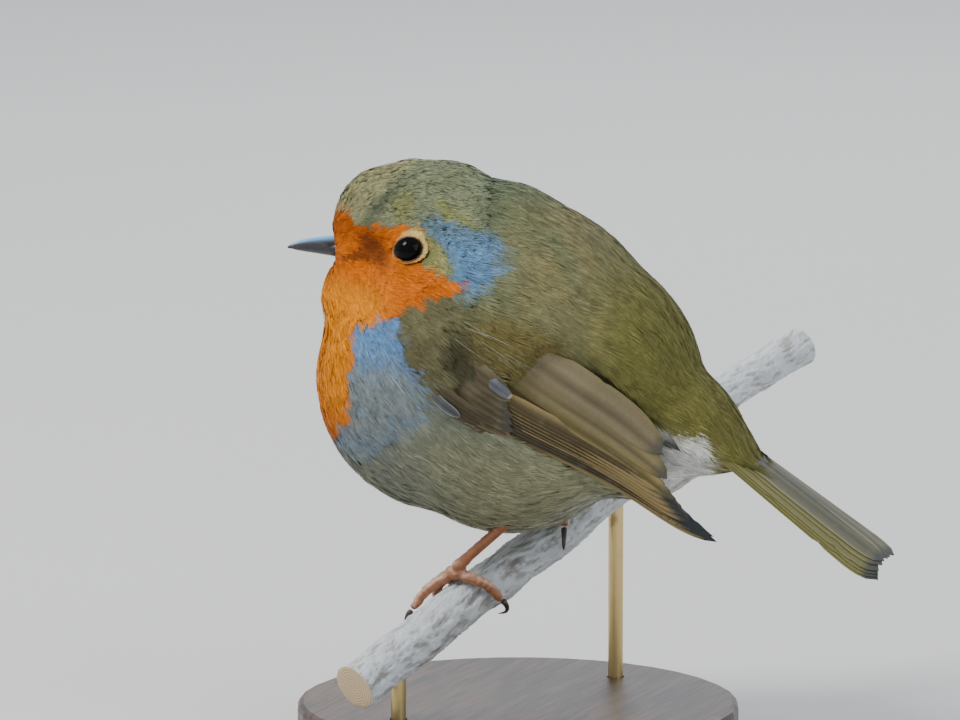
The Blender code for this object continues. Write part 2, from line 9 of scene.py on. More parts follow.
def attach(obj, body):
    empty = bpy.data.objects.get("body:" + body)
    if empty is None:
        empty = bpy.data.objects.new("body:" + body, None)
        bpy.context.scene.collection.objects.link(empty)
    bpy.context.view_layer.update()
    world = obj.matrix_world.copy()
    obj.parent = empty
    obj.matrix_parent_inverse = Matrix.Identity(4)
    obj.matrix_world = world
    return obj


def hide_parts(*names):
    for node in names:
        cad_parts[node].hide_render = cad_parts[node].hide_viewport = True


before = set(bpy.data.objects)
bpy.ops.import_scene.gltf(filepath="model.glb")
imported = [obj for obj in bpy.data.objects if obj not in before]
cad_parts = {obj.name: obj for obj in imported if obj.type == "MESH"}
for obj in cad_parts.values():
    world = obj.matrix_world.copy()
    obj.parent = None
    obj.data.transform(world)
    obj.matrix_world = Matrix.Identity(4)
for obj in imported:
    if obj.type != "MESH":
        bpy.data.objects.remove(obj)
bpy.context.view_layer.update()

# ----------------------------------------------------------------------------------------------------
# Skin. Under its feathers a robin is one thin soft skin from the bill to the tail and down both legs.
# It is made from copies of the fleshy solids, fused, smoothed and drawn in by the depth of the coat.

MM = 0.001
TRUNK_HEIGHT = 78.0                     # middle of the trunk above the stand's foot, in millimetres
HEAD_CENTRE = np.array((2.0, -16.3, 20.4))
HEAD_YAW = math.radians(20.0)
BILL_ROOT = (15.0, 0.0, -0.4)           # forward, left and up of the head's centre
EYE_PLACE = (2.3, 11.2, 1.7)
rng = np.random.default_rng(11)


def deselect():
    bpy.ops.object.select_all(action="DESELECT")


def use(piece):
    deselect()
    piece.select_set(True)
    bpy.context.view_layer.objects.active = piece


def smooth(x, low, high):
    """0 below low, 1 above high and an even ease between them; works with high below low too."""
    t = np.clip((np.asarray(x, float) - low) / (high - low), 0, 1)
    return t * t * (3 - 2 * t)


def to_world(points):
    return np.asarray(points) * MM + (0, 0, TRUNK_HEIGHT * MM)


def rows_of(piece, what):
    """The co or the normal of every vertex of a piece, one row each."""
    rows = np.zeros(len(piece.data.vertices) * 3, np.float32)
    piece.data.vertices.foreach_get(what, rows)
    return rows.reshape(-1, 3)


def vertices_of(piece):
    """The piece's vertices in millimetres about the middle of the trunk."""
    return (rows_of(piece, "co").astype(float) - (0, 0, TRUNK_HEIGHT * MM)) / MM


def set_vertices(piece, places):
    piece.data.vertices.foreach_set("co", to_world(places).astype(np.float32).ravel())
    piece.data.update()


def normals_of(piece):
    return rows_of(piece, "normal").astype(float)


def edit_whole(operator, **settings):
    """Runs an edit mode operator on the whole mesh of the active object."""
    bpy.ops.object.mode_set(mode="EDIT")
    bpy.ops.mesh.select_all(action="SELECT")
    operator(**settings)
    bpy.ops.object.mode_set(mode="OBJECT")


def copied(name, nodes):
    """One new object from copies of CAD nodes, with their loose triangles merged."""
    deselect()
    for node in nodes:
        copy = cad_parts[node].copy()
        copy.data = copy.data.copy()
        copy.data.materials.clear()
        copy.parent = None
        for key in list(copy.keys()):
            del copy[key]
        copy.hide_render = copy.hide_viewport = False
        bpy.context.scene.collection.objects.link(copy)
        copy.select_set(True)
        bpy.context.view_layer.objects.active = copy
    if len(nodes) > 1:
        bpy.ops.object.join()
    piece = bpy.context.view_layer.objects.active
    piece.name = piece.data.name = name
    edit_whole(bpy.ops.mesh.remove_doubles, threshold=0.000002)
    return piece


def modified(piece, *modifiers):
    """Adds modifiers, each given as its type and its settings, and applies them in turn."""
    use(piece)
    for kind, settings in modifiers:
        modifier = piece.modifiers.new(kind.title(), kind)
        for key, value in settings.items():
            setattr(modifier, key, value)
        bpy.ops.object.modifier_apply(modifier=modifier.name)
    return piece


def fused(piece, swell, voxel, passes, bridge=0.0001):
    """Makes one closed surface of a copy's parts, filling cuts and creases narrower than the bridge."""
    return modified(
        piece,
        ("DISPLACE", {"strength": swell, "mid_level": 0.0}),
        ("REMESH", {"mode": "VOXEL", "voxel_size": voxel * 0.8}),
        ("DISPLACE", {"strength": bridge, "mid_level": 0.0}),
        ("REMESH", {"mode": "VOXEL", "voxel_size": voxel}),
        ("SMOOTH", {"factor": 0.5, "iterations": passes}),
        ("DISPLACE", {"strength": -swell - bridge, "mid_level": 0.0}),
        ("SMOOTH", {"factor": 0.5, "iterations": passes // 2}),
    )


def head_to_body(forward, left, up):
    turn = np.array(((math.cos(HEAD_YAW), -math.sin(HEAD_YAW)), (math.sin(HEAD_YAW), math.cos(HEAD_YAW))))
    x, y = turn @ np.array((left, -forward))
    return HEAD_CENTRE + (x, y, up)


def head_coordinates(p, yaw=HEAD_YAW):
    """Places about the trunk given as forward, left and up of the head's centre."""
    d = p - HEAD_CENTRE
    cosine, sine = np.cos(yaw), np.sin(yaw)
    return -(-d[:, 0] * sine + d[:, 1] * cosine), d[:, 0] * cosine + d[:, 1] * sine, d[:, 2]


DEPTH_AT_BILL = 0.55                    # of the plumage, in millimetres
DEPTH_ADDED_BY_FACE = 0.65
DEPTH_ADDED_BY_BODY = 1.1
DEPTH_LOST_DOWN_TAIL = 0.7


def coat_depth(p):
    """Depth of the plumage: shortest round the bill, longest on the body, shorter again on the tail."""
    from_bill = np.linalg.norm(p - head_to_body(*BILL_ROOT), axis=1)
    depth = DEPTH_AT_BILL + DEPTH_ADDED_BY_FACE * smooth(from_bill, 3, 13)
    depth = depth + DEPTH_ADDED_BY_BODY * smooth(from_bill, 13, 30)
    return depth - DEPTH_LOST_DOWN_TAIL * smooth(p[:, 1], 38, 52)


EYE_DIRECTION = (0.19, 0.95, 0.24)
EYE_RADIUS = 3.5
EYE_OPENING = (2.9, 2.42)               # half the length and half the height of the gap between the lids
LID_HEIGHT = 2.6                        # of the lids above the middle of the eyeball


def beside_head(place, side):
    """A place given on the head's left, or its mirror image for a side of -1."""
    return head_to_body(place[0], place[1] * side, place[2])


EYES = [beside_head(EYE_PLACE, side) for side in (1, -1)]
EYE_AXES = [beside_head(np.add(EYE_PLACE, EYE_DIRECTION), side) - eye for side, eye in zip((1, -1), EYES)]


def unit(v):
    return v / np.maximum(np.linalg.norm(v, axis=-1, keepdims=True), 1e-9)


def eye_frame(axis):
    """The lids' long direction, back and a little up, and their short one."""
    back = head_to_body(-1, 0, 0.22) - HEAD_CENTRE
    long = unit(back - axis * (back @ axis))
    short = np.cross(long, axis)
    return long, short * np.sign(short[2])


def eye_gap(p):
    """Distance outside the lids' opening as a share of it: 1 on the lid's edge, large elsewhere."""
    gap = np.full(len(p), 9.0)
    for eye, axis in zip(EYES, EYE_AXES):
        long, short = eye_frame(unit(axis))
        d = p - eye
        here = np.hypot(d @ long / EYE_OPENING[0], d @ short / EYE_OPENING[1])
        gap = np.minimum(gap, np.where(d @ axis > -1.5, here, 9.0))
    return gap


FLESH = ["head", "neck", "breast", "back", "belly", "rump"]
TAIL_TIP = np.array((0.0, 80.3, -36.8))
TAIL_LENGTH = 52.0
TAIL_DROP = math.radians(34.5)
TAIL_ALONG = np.array((0, math.cos(TAIL_DROP), -math.sin(TAIL_DROP)))
TAIL_UP = np.array((0, math.sin(TAIL_DROP), math.cos(TAIL_DROP)))
TAIL_ROOT = TAIL_TIP - TAIL_ALONG * TAIL_LENGTH
COVERTS_END = 14.0                      # how far down the tail its coverts reach
skin = copied("skin", FLESH + ["wing_coverts_left", "wing_coverts_right", "eye_left", "eye_right"])
# Round forms fill out the root of the bill, the forehead and the bed of the tail's coverts.
for middle, radii, turn in (
    (head_to_body(13.6, 0, 0.6), (3.5, 3.5, 3.5), 0.0),
    (head_to_body(15.0, 0, 4.5), (3.5, 3.5, 3.4), 0.0),
    (TAIL_ROOT + TAIL_ALONG * 13 + TAIL_UP * 0.1, (6.0, 11.0, 2.5), -TAIL_DROP),
):
    deselect()
    bpy.ops.mesh.primitive_uv_sphere_add(segments=32, ring_count=20, radius=MM, location=to_world(middle),
                                         rotation=(turn, 0, 0), scale=radii)
    skin.select_set(True)
    bpy.context.view_layer.objects.active = skin
    bpy.ops.object.join()
fused(skin, swell=0.00042, voxel=0.00066, passes=8, bridge=0.0011)
use(skin)
edit_whole(bpy.ops.mesh.quads_convert_to_tris)

# The feathers stand back from each eye: they rise from the lids' edge like the sides of a shallow dish.
DISH_EDGE = 1.05                        # where it starts, as a share of the lids' opening
DISH_FLOOR = 2.5                        # breadth of its curved floor, past which its sides are straight
DISH_REACH = 8.0
places = vertices_of(skin)
for eye, axis in zip(EYES, EYE_AXES):
    height = (places - eye) @ unit(axis)
    beyond = np.clip(eye_gap(places) - DISH_EDGE, 0, 9) * EYE_OPENING[0]
    rise = LID_HEIGHT + np.where(beyond < DISH_FLOOR, 0.16 * beyond**2, 1.0 + 0.8 * (beyond - DISH_FLOOR))
    near = (height > 0) & (beyond < DISH_REACH)
    places = places - np.outer(np.where(near, np.clip(height - rise, 0, None), 0), unit(axis))
# Past its coverts the tail is bare of skin, which thins out between the feathers.
from_root = places - TAIL_ROOT
thin = smooth(from_root @ TAIL_ALONG, 13, 21) * smooth(np.abs(from_root @ TAIL_UP), 12, 8)
places = places - np.outer(thin * 0.85 * (from_root @ TAIL_UP), TAIL_UP)
places[:, 0] *= 1 - 0.35 * thin
set_vertices(skin, places)
modified(skin, ("SMOOTH", {"factor": 0.5, "iterations": 4}))

# The outside of the plumage is kept for laying the feathers; the skin lies inside it.
outer = vertices_of(skin)
outer_normals = normals_of(skin)
outer_faces = np.zeros(len(skin.data.polygons) * 3, np.int32)
skin.data.polygons.foreach_get("vertices", outer_faces)
outer_faces = outer_faces.reshape(-1, 3)
outer_tree = BVHTree.FromPolygons([Vector(v) for v in outer], outer_faces.tolist())
room = np.full(len(outer), 60.0)
for i, (place, normal) in enumerate(zip(outer, outer_normals)):
    hit = outer_tree.ray_cast(Vector(place - normal * 0.05), Vector(-normal))
    if hit[0]:
        room[i] = hit[3]
set_vertices(skin, outer - outer_normals * np.minimum(coat_depth(outer), room * 0.4)[:, None])
modified(skin, ("SMOOTH", {"factor": 0.5, "iterations": 3}))

# ----------------------------------------------------------------------------------------------------
# Branch under the feet, as numbers: the bent middle line of the piece of branch that the feet grip. The
# toes' scales and the bark are both counted along it.

PERCH_ORIGIN = (6.4, -5.3)
PERCH_HEADING = math.radians(155.7)
PERCH_DIRECTION = np.array((math.cos(PERCH_HEADING), math.sin(PERCH_HEADING)))
PERCH_RISE = ((-31, -62.0), (-18.6, -56.8), (-8, -52.0), (0, -48.4), (22, -39.6), (48, -26.9),
              (71, -16.2), (94, -8.8))


def edge(table, x):
    """Reads a line given by its corners."""
    return np.interp(x, *np.transpose(table))


def perch_coordinates(p):
    """Distance along the branch, turn round it from its top, and distance from its middle."""
    ahead = (p[:, :2] - PERCH_ORIGIN) @ PERCH_DIRECTION
    station = ahead
    for _ in range(3):
        rise = edge(PERCH_RISE, station)
        slope = edge(PERCH_RISE, station + 1) - rise
        miss = ahead - station + slope * (p[:, 2] - rise)
        station = station + miss / (1 + slope**2)
    rise = edge(PERCH_RISE, station)
    slope = edge(PERCH_RISE, station + 1) - rise
    side = (p[:, :2] - PERCH_ORIGIN) @ np.array((PERCH_DIRECTION[1], -PERCH_DIRECTION[0]))
    lift = (p[:, 2] - rise) / np.sqrt(1 + slope**2)
    return station, np.arctan2(side, lift), np.hypot(side, lift)


# ----------------------------------------------------------------------------------------------------
# Bare legs: horny scutes in front of each shank, ringed toes with soft pads below. They are part of the
# skin and grow out of it, so copies of the leg solids get their scales in relief and are joined to it.

LEG_NODES = ["tarsus_left", "tarsus_right", "foot_left", "foot_right"]
FOOT_STATIONS = (-0.5, 26.5)            # of the left and the right foot, along the branch
TOE_DISTANCE = 6.1                      # of the toes' middles from the middle of the branch
TOE_SCUTE = 1.25
TOE_PAD = 2.5
SHANK_SCUTE = 2.6
legs = fused(copied("legs", LEG_NODES), swell=0.0002, voxel=0.00024, passes=2)
leg_places = vertices_of(legs)
leg_normals = normals_of(legs)
station, turn, reach = perch_coordinates(leg_places)
on_toe = smooth(reach, 8.6, 7.2)
foot_middle = np.where(station > np.mean(FOOT_STATIONS), FOOT_STATIONS[1], FOOT_STATIONS[0])
toe_run = np.abs(turn) * TOE_DISTANCE + np.abs(station - foot_middle) * 0.6
toe_run = toe_run + 0.25 * np.sin(leg_places @ (2.1, 1.7, 2.6))
toe_wave = np.abs(np.sin(toe_run * math.pi / TOE_SCUTE))
pad_wave = np.abs(np.sin(toe_run * math.pi / TOE_PAD + 0.6))
outside = smooth(reach, 5.6, 6.4)
toe_relief = 0.26 * toe_wave**0.7 * outside + 0.22 * pad_wave * (1 - outside) + 0.02
shank_run = leg_places[:, 2] + 0.9 * leg_places[:, 1] + 0.15 * np.sin(leg_places[:, 2] * 1.9)
shank_step = (shank_run / SHANK_SCUTE) % 1
shank_relief = 0.12 * (1 - shank_step) ** 0.7 * smooth(leg_normals[:, 1], 0.5, -0.2) + 0.06
relief = on_toe * toe_relief + (1 - on_toe) * shank_relief
set_vertices(legs, leg_places + leg_normals * relief[:, None])

deselect()
legs.select_set(True)
skin.select_set(True)
bpy.context.view_layer.objects.active = skin
bpy.ops.object.join()
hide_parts(*FLESH, *LEG_NODES)
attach(skin, "root")

# ----------------------------------------------------------------------------------------------------
# Markings. One set of rules for skin and feathers alike: a rusty bib from forehead to breast, a bluish
# grey border, a grizzled crown with painted shade along a parting and a painted highlight on its front,
# an olive back and a pale belly. The colours grow in the feathers.

# Edges are given as pairs of height above the head's centre and distance forward of it, but for the
# bib's top, which pairs distance forward with height, and the rump's edge, distance back with height.
BIB_REAR = ((-43, 26), (-39, 15), (-33, 8.2), (-27, 6.9), (-21, 6.9), (-17.1, 6.2), (-15, 7.6), (-13.3, 8.7),
            (-11.1, 7.0), (-8.7, 2.7), (-6.2, -4.6), (-4.6, -9.0), (-3.6, -10.3), (-2.6, -9.3), (-1.4, -4.8),
            (0.4, -0.6), (3.6, -0.9), (6.4, 0.2), (8, 2))
BIB_TOP = ((-6, 5.2), (0, 6.0), (2.5, 6.7), (8, 6.6), (11, 6.4), (13, 7.0), (15, 8.4), (17, 9.8), (20, 10.4))
BLUE_REAR = ((-6, -10), (-3.2, -13.4), (-0.3, -16.2), (4, -17.0), (6.4, -13.5), (7.6, -9.5), (8.4, -3.0))
BLUE_FRONT = ((-6, -10), (-3.2, -9.4), (-0.7, -6.8), (2.9, -5.2), (5.5, -1.8), (8.4, -0.6))
GREY_REAR = ((-44, 4), (-36, -1.5), (-31, -8.5), (-24, -11.5), (-20, -9.5), (-15.2, -4.2), (-12, 2.0),
             (-10, 7.0))
# The line along which the crown's feathers part, where a dark painted shade line runs.
PARTING_LINE = ((4.5, 11.6), (6.5, 10.6), (10.3, 8.2), (13.3, 5.6), (15.5, 3.3), (17.5, 0.0), (19, -4))
RUMP_EDGE = ((33, -8.8), (38.6, -10.8), (45.3, -12.8), (48.5, -16.0), (51, -19.0), (60, -24.5), (75, -35.0))
HUES = {
    "rust": (0.61, 0.140, 0.003),
    "deep_rust": (0.45, 0.098, 0.002),
    "pale_rust": (0.80, 0.275, 0.002),
    "lores": (0.120, 0.032, 0.012),
    "blue": (0.125, 0.285, 0.50),
    "slate": (0.105, 0.155, 0.190),
    "ash": (0.225, 0.250, 0.235),
    "breast_grey": (0.118, 0.262, 0.49),
    # the front of the crown, painted paler as a painted highlight where the light falls on it
    "lit_forecrown": (0.315, 0.290, 0.138),
    "crown": (0.215, 0.240, 0.138),
    # a painted shade line where the crown's feathers part
    "parting_shade": (0.112, 0.132, 0.080),
    "olive_patch": (0.250, 0.255, 0.080),
    "nape": (0.130, 0.182, 0.115),
    "back": (0.124, 0.158, 0.088),
    "warm_back": (0.240, 0.215, 0.098),
    "rump": (0.170, 0.160, 0.045),
    "shoulder": (0.132, 0.124, 0.062),
    "dark": (0.048, 0.045, 0.024),
    "golden": (0.155, 0.128, 0.044),
    "flank": (0.196, 0.214, 0.156),
    "belly": (0.300, 0.298, 0.178),
    "white": (0.86, 0.86, 0.82),
    "buff": (0.42, 0.34, 0.16),
    "cream": (0.55, 0.44, 0.16),
}


def wobble(p, size, seed):
    """Soft unevenness between about -1 and 1, with patches of a size in millimetres."""
    made = np.random.default_rng(seed)
    total = np.zeros(len(p))
    for _ in range(7):
        wave = made.normal(size=3)
        total += np.sin(p @ (wave / np.linalg.norm(wave)) * (2 * math.pi / size) * made.uniform(0.7, 1.5)
                        + made.uniform(0, 2 * math.pi))
    return total / 2.6


# The folded wing runs from its wrist to its tip; the right one is carried a little higher.
WING_WRIST = np.array((-11.5, 8.5))
WING_TIP = np.array((48.0, -33.0))
WING_SPAN = float(np.hypot(*(WING_TIP - WING_WRIST)))
WING_CHORD = (WING_TIP - WING_WRIST) / WING_SPAN
WING_ACROSS = np.array((-WING_CHORD[1], WING_CHORD[0]))
RIGHT_WING_LIFT = 11.0


def wing_coordinates(p):
    """Distance from the wrist towards the wing's tip, and height above that line, on either side."""
    side = p[:, 1:] - WING_WRIST
    distance = side @ WING_CHORD
    lift = np.where(p[:, 0] < 0, RIGHT_WING_LIFT, 0) * np.clip(distance / WING_SPAN, 0, 1.2) ** 1.3
    side = side - np.stack((lift * 0, lift), 1)
    return side @ WING_CHORD, side @ WING_ACROSS


def spot(u, v, middle, radii):
    """1 in the middle of an oval and 0 outside it."""
    return smooth(np.hypot((u - middle[0]) / radii[0], (v - middle[1]) / radii[1]), 1.25, 0.65)


def trunk_layers(p, ragged):
    """The back, flanks, belly and shoulder, as a hue and its share for each layer from the lowest up."""
    x, y, z = p.T
    along, across = wing_coordinates(p)
    outward = smooth(np.abs(x), 17, 21)
    before_rump = smooth(y, 34, 28)
    below_rump = z - edge(RUMP_EDGE, y)
    vent = smooth(y + 0.6 * ragged, 33, 36.5) * smooth(below_rump + 0.3 * ragged, 0.2, -1.2)
    return [
        ("warm_back", smooth(y, -2, 18) * (0.78 + 0.18 * wobble(p, 9, 5))),
        ("rump", smooth(y, 21, 34)),
        ("flank", smooth(across, 2, -4) * before_rump),
        ("belly", smooth(z, -8, -19) * before_rump),
        ("ash", (0.55 + 0.15 * ragged) * smooth(y, 6, -16) * smooth(z, 3, -9)),
        ("white", 0.22 * smooth(np.abs(x), 12, 6) * smooth(z, -22, -27)),
        ("white", 0.2 * smooth(z, -25.0, -28.5) * smooth(y, 14, 24)),
        ("white", vent * smooth(y, 50, 46)),
        ("buff", 0.8 * smooth(y, 45, 50) * smooth(below_rump, -1.5, -3.0)),
        ("shoulder", outward * spot(along, across, (8, 3), (13, 10))),
        ("dark", 0.85 * outward * spot(along, across, (16, 4.5), (5.0, 4.6))),
        ("golden", outward * spot(along, across, (25.5, 11.5), (13, 6.0))),
    ]


def head_layers(p, forward, up, ragged):
    """The grey beside the bib, the nape, the crown with a painted shade line where its feathers part and its
    front painted paler as a painted highlight, and the blue behind the eye.
    """
    grey = smooth(forward - edge(GREY_REAR, up) + 2 * ragged, -2.5, 1.5)
    grey = grey * smooth(up, -9.5, -11) * smooth(up, -43, -33)
    streaks = wobble(p * (1, 1.6, 0.6), 2.0, 13)
    on_head = smooth(up, 4, 6) * smooth(forward, -16, -9)
    ridge = smooth(np.abs(up - 12.3 - 0.48 * forward), 2.3, 0.8) * smooth(forward, -2.5, -4.5)
    past_parting = forward - edge(PARTING_LINE, up) + 0.4 * ragged
    grizzle = 0.70 + 0.35 * wobble(p, 1.9, 6)
    blue = smooth(forward - edge(BLUE_REAR, up) + ragged, -2.8, 2.2) * smooth(up, 9.2, 7.0)
    blue = blue * smooth(up, -8.0, -3.0) * smooth(edge(BLUE_FRONT, up) - forward + 0.7 * ragged, -1.6, 1.4)
    fibres = wobble(p * (1, 0.5, 2.0), 1.8, 12)
    slate = 0.75 * smooth(up + 0.35 * ragged, 3.0, 7.0) + 0.25 * fibres
    behind_eye = smooth(forward - edge(BLUE_FRONT, up) + 0.5 * ragged, -0.6, 1.0) * smooth(forward, 1.2, 0.2)
    behind_eye = behind_eye * smooth(up, -4, -2) * smooth(up, 6.5, 5.5)
    return [
        ("breast_grey", grey),
        ("ash", grey * np.clip(smooth(up + ragged, -14, -27) + 0.16 * streaks, 0, 0.92)),
        ("nape", smooth(up, -6, 2) * smooth(p[:, 1], 4, -8) * smooth(forward, 2, -6)),
        ("crown", on_head),
        ("olive_patch", 0.6 * spot(forward, up, (3.4, 10.4), (2.4, 3.2))),
        ("olive_patch", 0.65 * ridge * smooth(forward, -12, -9)),
        # Painted highlight: the crown in front of the parting is painted paler where the light falls on it;
        # the grizzle is its own.
        ("lit_forecrown", on_head * smooth(past_parting, -1.0, 5.0) * grizzle),
        # Painted shade: a dark line along the parting of the crown's feathers.
        ("parting_shade", 0.8 * on_head * smooth(np.abs(past_parting), 2.3, 0.4) * smooth(up, 19, 14)),
        ("blue", blue * (0.86 + 0.22 * fibres)),
        ("slate", blue * np.clip(slate, 0, 1)),
        ("olive_patch", 0.8 * behind_eye),
        ("cream", 0.7 * behind_eye * smooth(wobble(p * (1, 1, 2.2), 2.6, 8), 0.0, 0.9)),
    ]


def bib_layers(forward, up, ragged):
    """The bib, paler on the throat, deeper on forehead and lower breast, with dark lores and a pale brow."""
    from_rear = forward - edge(BIB_REAR, up)
    inside = np.minimum(from_rear, (edge(BIB_TOP, forward) - up) * 1.4)
    bib = smooth(np.where(up < 0, from_rear, inside) - 0.8 * ragged, -0.6, 0.6)
    lores = spot(forward - 0.5 * (up - 1.5), up, (9.3, 1.6), (2.7, 3.6))
    gape = spot(forward, up, (12.2, -0.4), (4.6, 0.8))
    return [
        ("rust", bib),
        ("pale_rust", bib * 0.9 * smooth(up, -3, -9) * smooth(forward, 3, 10)),
        ("deep_rust", bib * smooth(forward, 8, 12) * smooth(up, 2.0, 4.5)),
        ("deep_rust", bib * 0.75 * smooth(up, -26, -36)),
        ("lores", bib * np.maximum(lores * 0.75, 0.75 * gape)),
        ("cream", 0.45 * spot(forward, up, (0.4, 6.6), (1.2, 0.9))),
    ]


def markings(p):
    """The plumage's colour at places on its surface."""
    up = p[:, 2] - HEAD_CENTRE[2]
    forward, _, _ = head_coordinates(p, HEAD_YAW * smooth(up, -17, -9))
    ragged = 0.7 * wobble(p, 5.0, 3) + 0.5 * wobble(p, 2.2, 4)
    colour = np.tile(np.array(HUES["back"]), (len(p), 1))
    layers = trunk_layers(p, ragged) + head_layers(p, forward, up, ragged) + bib_layers(forward, up, ragged)
    for hue, share in layers:
        colour = colour + (np.array(HUES[hue]) - colour) * np.clip(share, 0, 1)[:, None]
    return colour * (1 + 0.07 * wobble(p, 6, 9) + 0.05 * wobble(p, 1.8, 10))[:, None]


def paint(piece, colours, along=None):
    """Keeps a colour for every vertex, with the place along its barb in the fourth channel."""
    layer = piece.data.color_attributes.new(name="plumage", type="FLOAT_COLOR", domain="POINT")
    values = np.ones((len(piece.data.vertices), 4), np.float32)
    values[:, :3] = colours
    if along is not None:
        values[:, 3] = along
    layer.data.foreach_set("color", values.ravel())


SKIN_LIFT_AGAINST_SHADE = 1.15                        # the skin is painted a little paler than the feathers over it: painted light that lifts the shade in the gaps between them
LEG_BROWN = np.array((0.265, 0.084, 0.016))
LEG_PINK = np.array((0.58, 0.36, 0.27))
skin_places = vertices_of(skin)
# Painted light: the skin's colour is raised against the shade that falls between the feathers.
skin_colour = markings(skin_places) * SKIN_LIFT_AGAINST_SHADE
bare = np.arange(len(skin_places)) >= len(outer)
pinkness = smooth(relief, -0.02, 0.12) * (0.12 + 0.75 * on_toe * smooth(leg_normals[:, 2], -0.1, 0.7))
skin_colour[bare] = LEG_BROWN + (LEG_PINK - LEG_BROWN) * pinkness[:, None]
paint(skin, skin_colour, bare.astype(float))


def join_value(tree, value, socket):
    if isinstance(value, Wire):
        tree.links.new(value.socket, socket)
    else:
        socket.default_value = value


class Wire:
    """A node's output; Python's operators on it add Math nodes."""

    def __init__(self, tree, socket):
        self.tree = tree
        self.socket = socket

    def math(self, operation, *values):
        node = self.tree.nodes.new("ShaderNodeMath")
        node.operation = operation
        for value, socket in zip(values, node.inputs):
            join_value(self.tree, value, socket)
        return Wire(self.tree, node.outputs[0])

    def output(self, name):
        return Wire(self.tree, self.socket.node.outputs[name])

    def __add__(self, other):
        return self.math("ADD", self, other)

    def __rsub__(self, other):
        return self.math("SUBTRACT", other, self)

    def __mul__(self, other):
        return self.math("MULTIPLY", self, other)

    __radd__ = __add__
    __rmul__ = __mul__


class Finish:
    """A material on one Principled shader, with constants set on its own sockets."""

    def __init__(self, name, **constants):
        self.material = bpy.data.materials.new(name)
        self.material.use_nodes = True
        self.tree = self.material.node_tree
        self.shader = self.tree.nodes["Principled BSDF"]
        for key, value in constants.items():
            self.shader.inputs[key.replace("_", " ")].default_value = value

    def node(self, kind, settings=None, **values):
        """Any node: its settings first, then its sockets by name with underscores for spaces."""
        node = self.tree.nodes.new("ShaderNode" + kind)
        for key, value in (settings or {}).items():
            setattr(node, key, value)
        for key, value in values.items():
            name = key.replace("_", " ")
            socket = next(s for s in node.inputs if s.name == name and s.enabled)
            join_value(self.tree, value, socket)
        return Wire(self.tree, next(s for s in node.outputs if s.enabled))

    def place(self, stretch=(1, 1, 1), turn=(0, 0, 0)):
        """Object coordinates, turned and stretched."""
        where = self.node("TexCoord").output("Object")
        return self.node("Mapping", Vector=where, Scale=stretch, Rotation=turn)

    def noise(self, scale, detail=3.0, vector=None):
        return self.node("TexNoise", Vector=vector or self.place(), Scale=scale, Detail=detail)

    def step(self, value, low, high):
        """An eased step from 0 to 1 as the value goes from low to high."""
        settings = {"interpolation_type": "SMOOTHSTEP"}
        return self.node("MapRange", settings, Value=value, From_Min=low, From_Max=high)

    def mix(self, factor, a, b, blend_type="MIX"):
        node = self.tree.nodes.new("ShaderNodeMix")
        node.data_type = "RGBA"
        node.blend_type = blend_type
        join_value(self.tree, factor, node.inputs[0])
        for socket, value in ((node.inputs[6], a), (node.inputs[7], b)):
            join_value(self.tree, value, socket)
        return Wire(self.tree, node.outputs[2])

    def bump(self, height, distance, strength=1.0):
        return self.node("Bump", Height=height, Distance=distance, Strength=strength)

    def finish(self, **links):
        for key, value in links.items():
            join_value(self.tree, value, self.shader.inputs[key.replace("_", " ")])
        return self.material


def skin_finish():
    made = Finish("skin_and_scutes", Sheen_Weight=0.1)
    tint = made.node("VertexColor", {"layer_name": "plumage"})
    bare_leg = tint.output("Alpha")
    grain = made.noise(1400, 4)
    blotch = made.noise(420, 2)
    shade = made.mix(1.0, tint, made.mix(grain, (0.72, 0.70, 0.68, 1), (1.22, 1.2, 1.16, 1)), "MULTIPLY")
    tone = made.mix(made.step(blotch, 0.42, 0.68) * bare_leg * 0.5, shade, (0.16, 0.06, 0.025, 1))
    return made.finish(
        Base_Color=tone,
        Roughness=0.85 - bare_leg * (0.5 - grain * 0.2),
        Normal=made.bump(grain, 0.00008, 0.5),
    )


skin.data.materials.append(skin_finish())
bpy.ops.object.shade_smooth()

# ----------------------------------------------------------------------------------------------------
# Body feathers. Each is a small tuft of loose barbs rooted in the skin that rises, lies back along the
# body and overlaps its neighbours; the smallest are on the face, the longest on the flanks and belly.

LIE_STEPS = 7                           # points on a feather's middle line
FACE_REACH = 13.5                       # of the smallest feathers, from the middle of the face


def lie_of_coat(p, n):
    """The way feathers point at a place: away from the bill, then along the body to the tail."""
    away, home = p - head_to_body(*BILL_ROOT), TAIL_ROOT + TAIL_ALONG * COVERTS_END - p
    flow = away / np.sum(away**2, -1, keepdims=True) ** 0.8
    flow = flow + 1.3 * home / np.sum(home**2, -1, keepdims=True) ** 0.8
    past = smooth(p[:, 1], 38, 47)[:, None]
    flow = unit(flow) * (1 - past) + TAIL_ALONG * past
    flank = smooth(np.abs(p[:, 0]), 12, 22) * smooth(p[:, 2], 12, -4) * smooth(p[:, 2], -30, -18)
    flow = flow + flank[:, None] * np.array((0, 0.2, -0.35))
    for eye, axis in zip(EYES, EYE_AXES):
        out = p - eye
        out = unit(out - n * np.sum(out * n, -1, keepdims=True))
        close = (smooth(eye_gap(p), 2.2, 1.2) * (np.linalg.norm(p - eye, axis=1) < 9))[:, None]
        inward = np.minimum(np.sum(unit(flow) * out, -1, keepdims=True), 0)
        flow = unit(flow) - out * (inward - 0.15) * close
    swirl = 0.10 * np.sin(p @ (0.31, 0.23, 0.27)) + 0.08 * np.sin(p @ (-0.17, 0.41, 0.36) + 2)
    flow = unit(flow - n * np.sum(flow * n, -1, keepdims=True))
    return unit(flow + np.cross(n, flow) * swirl[:, None])


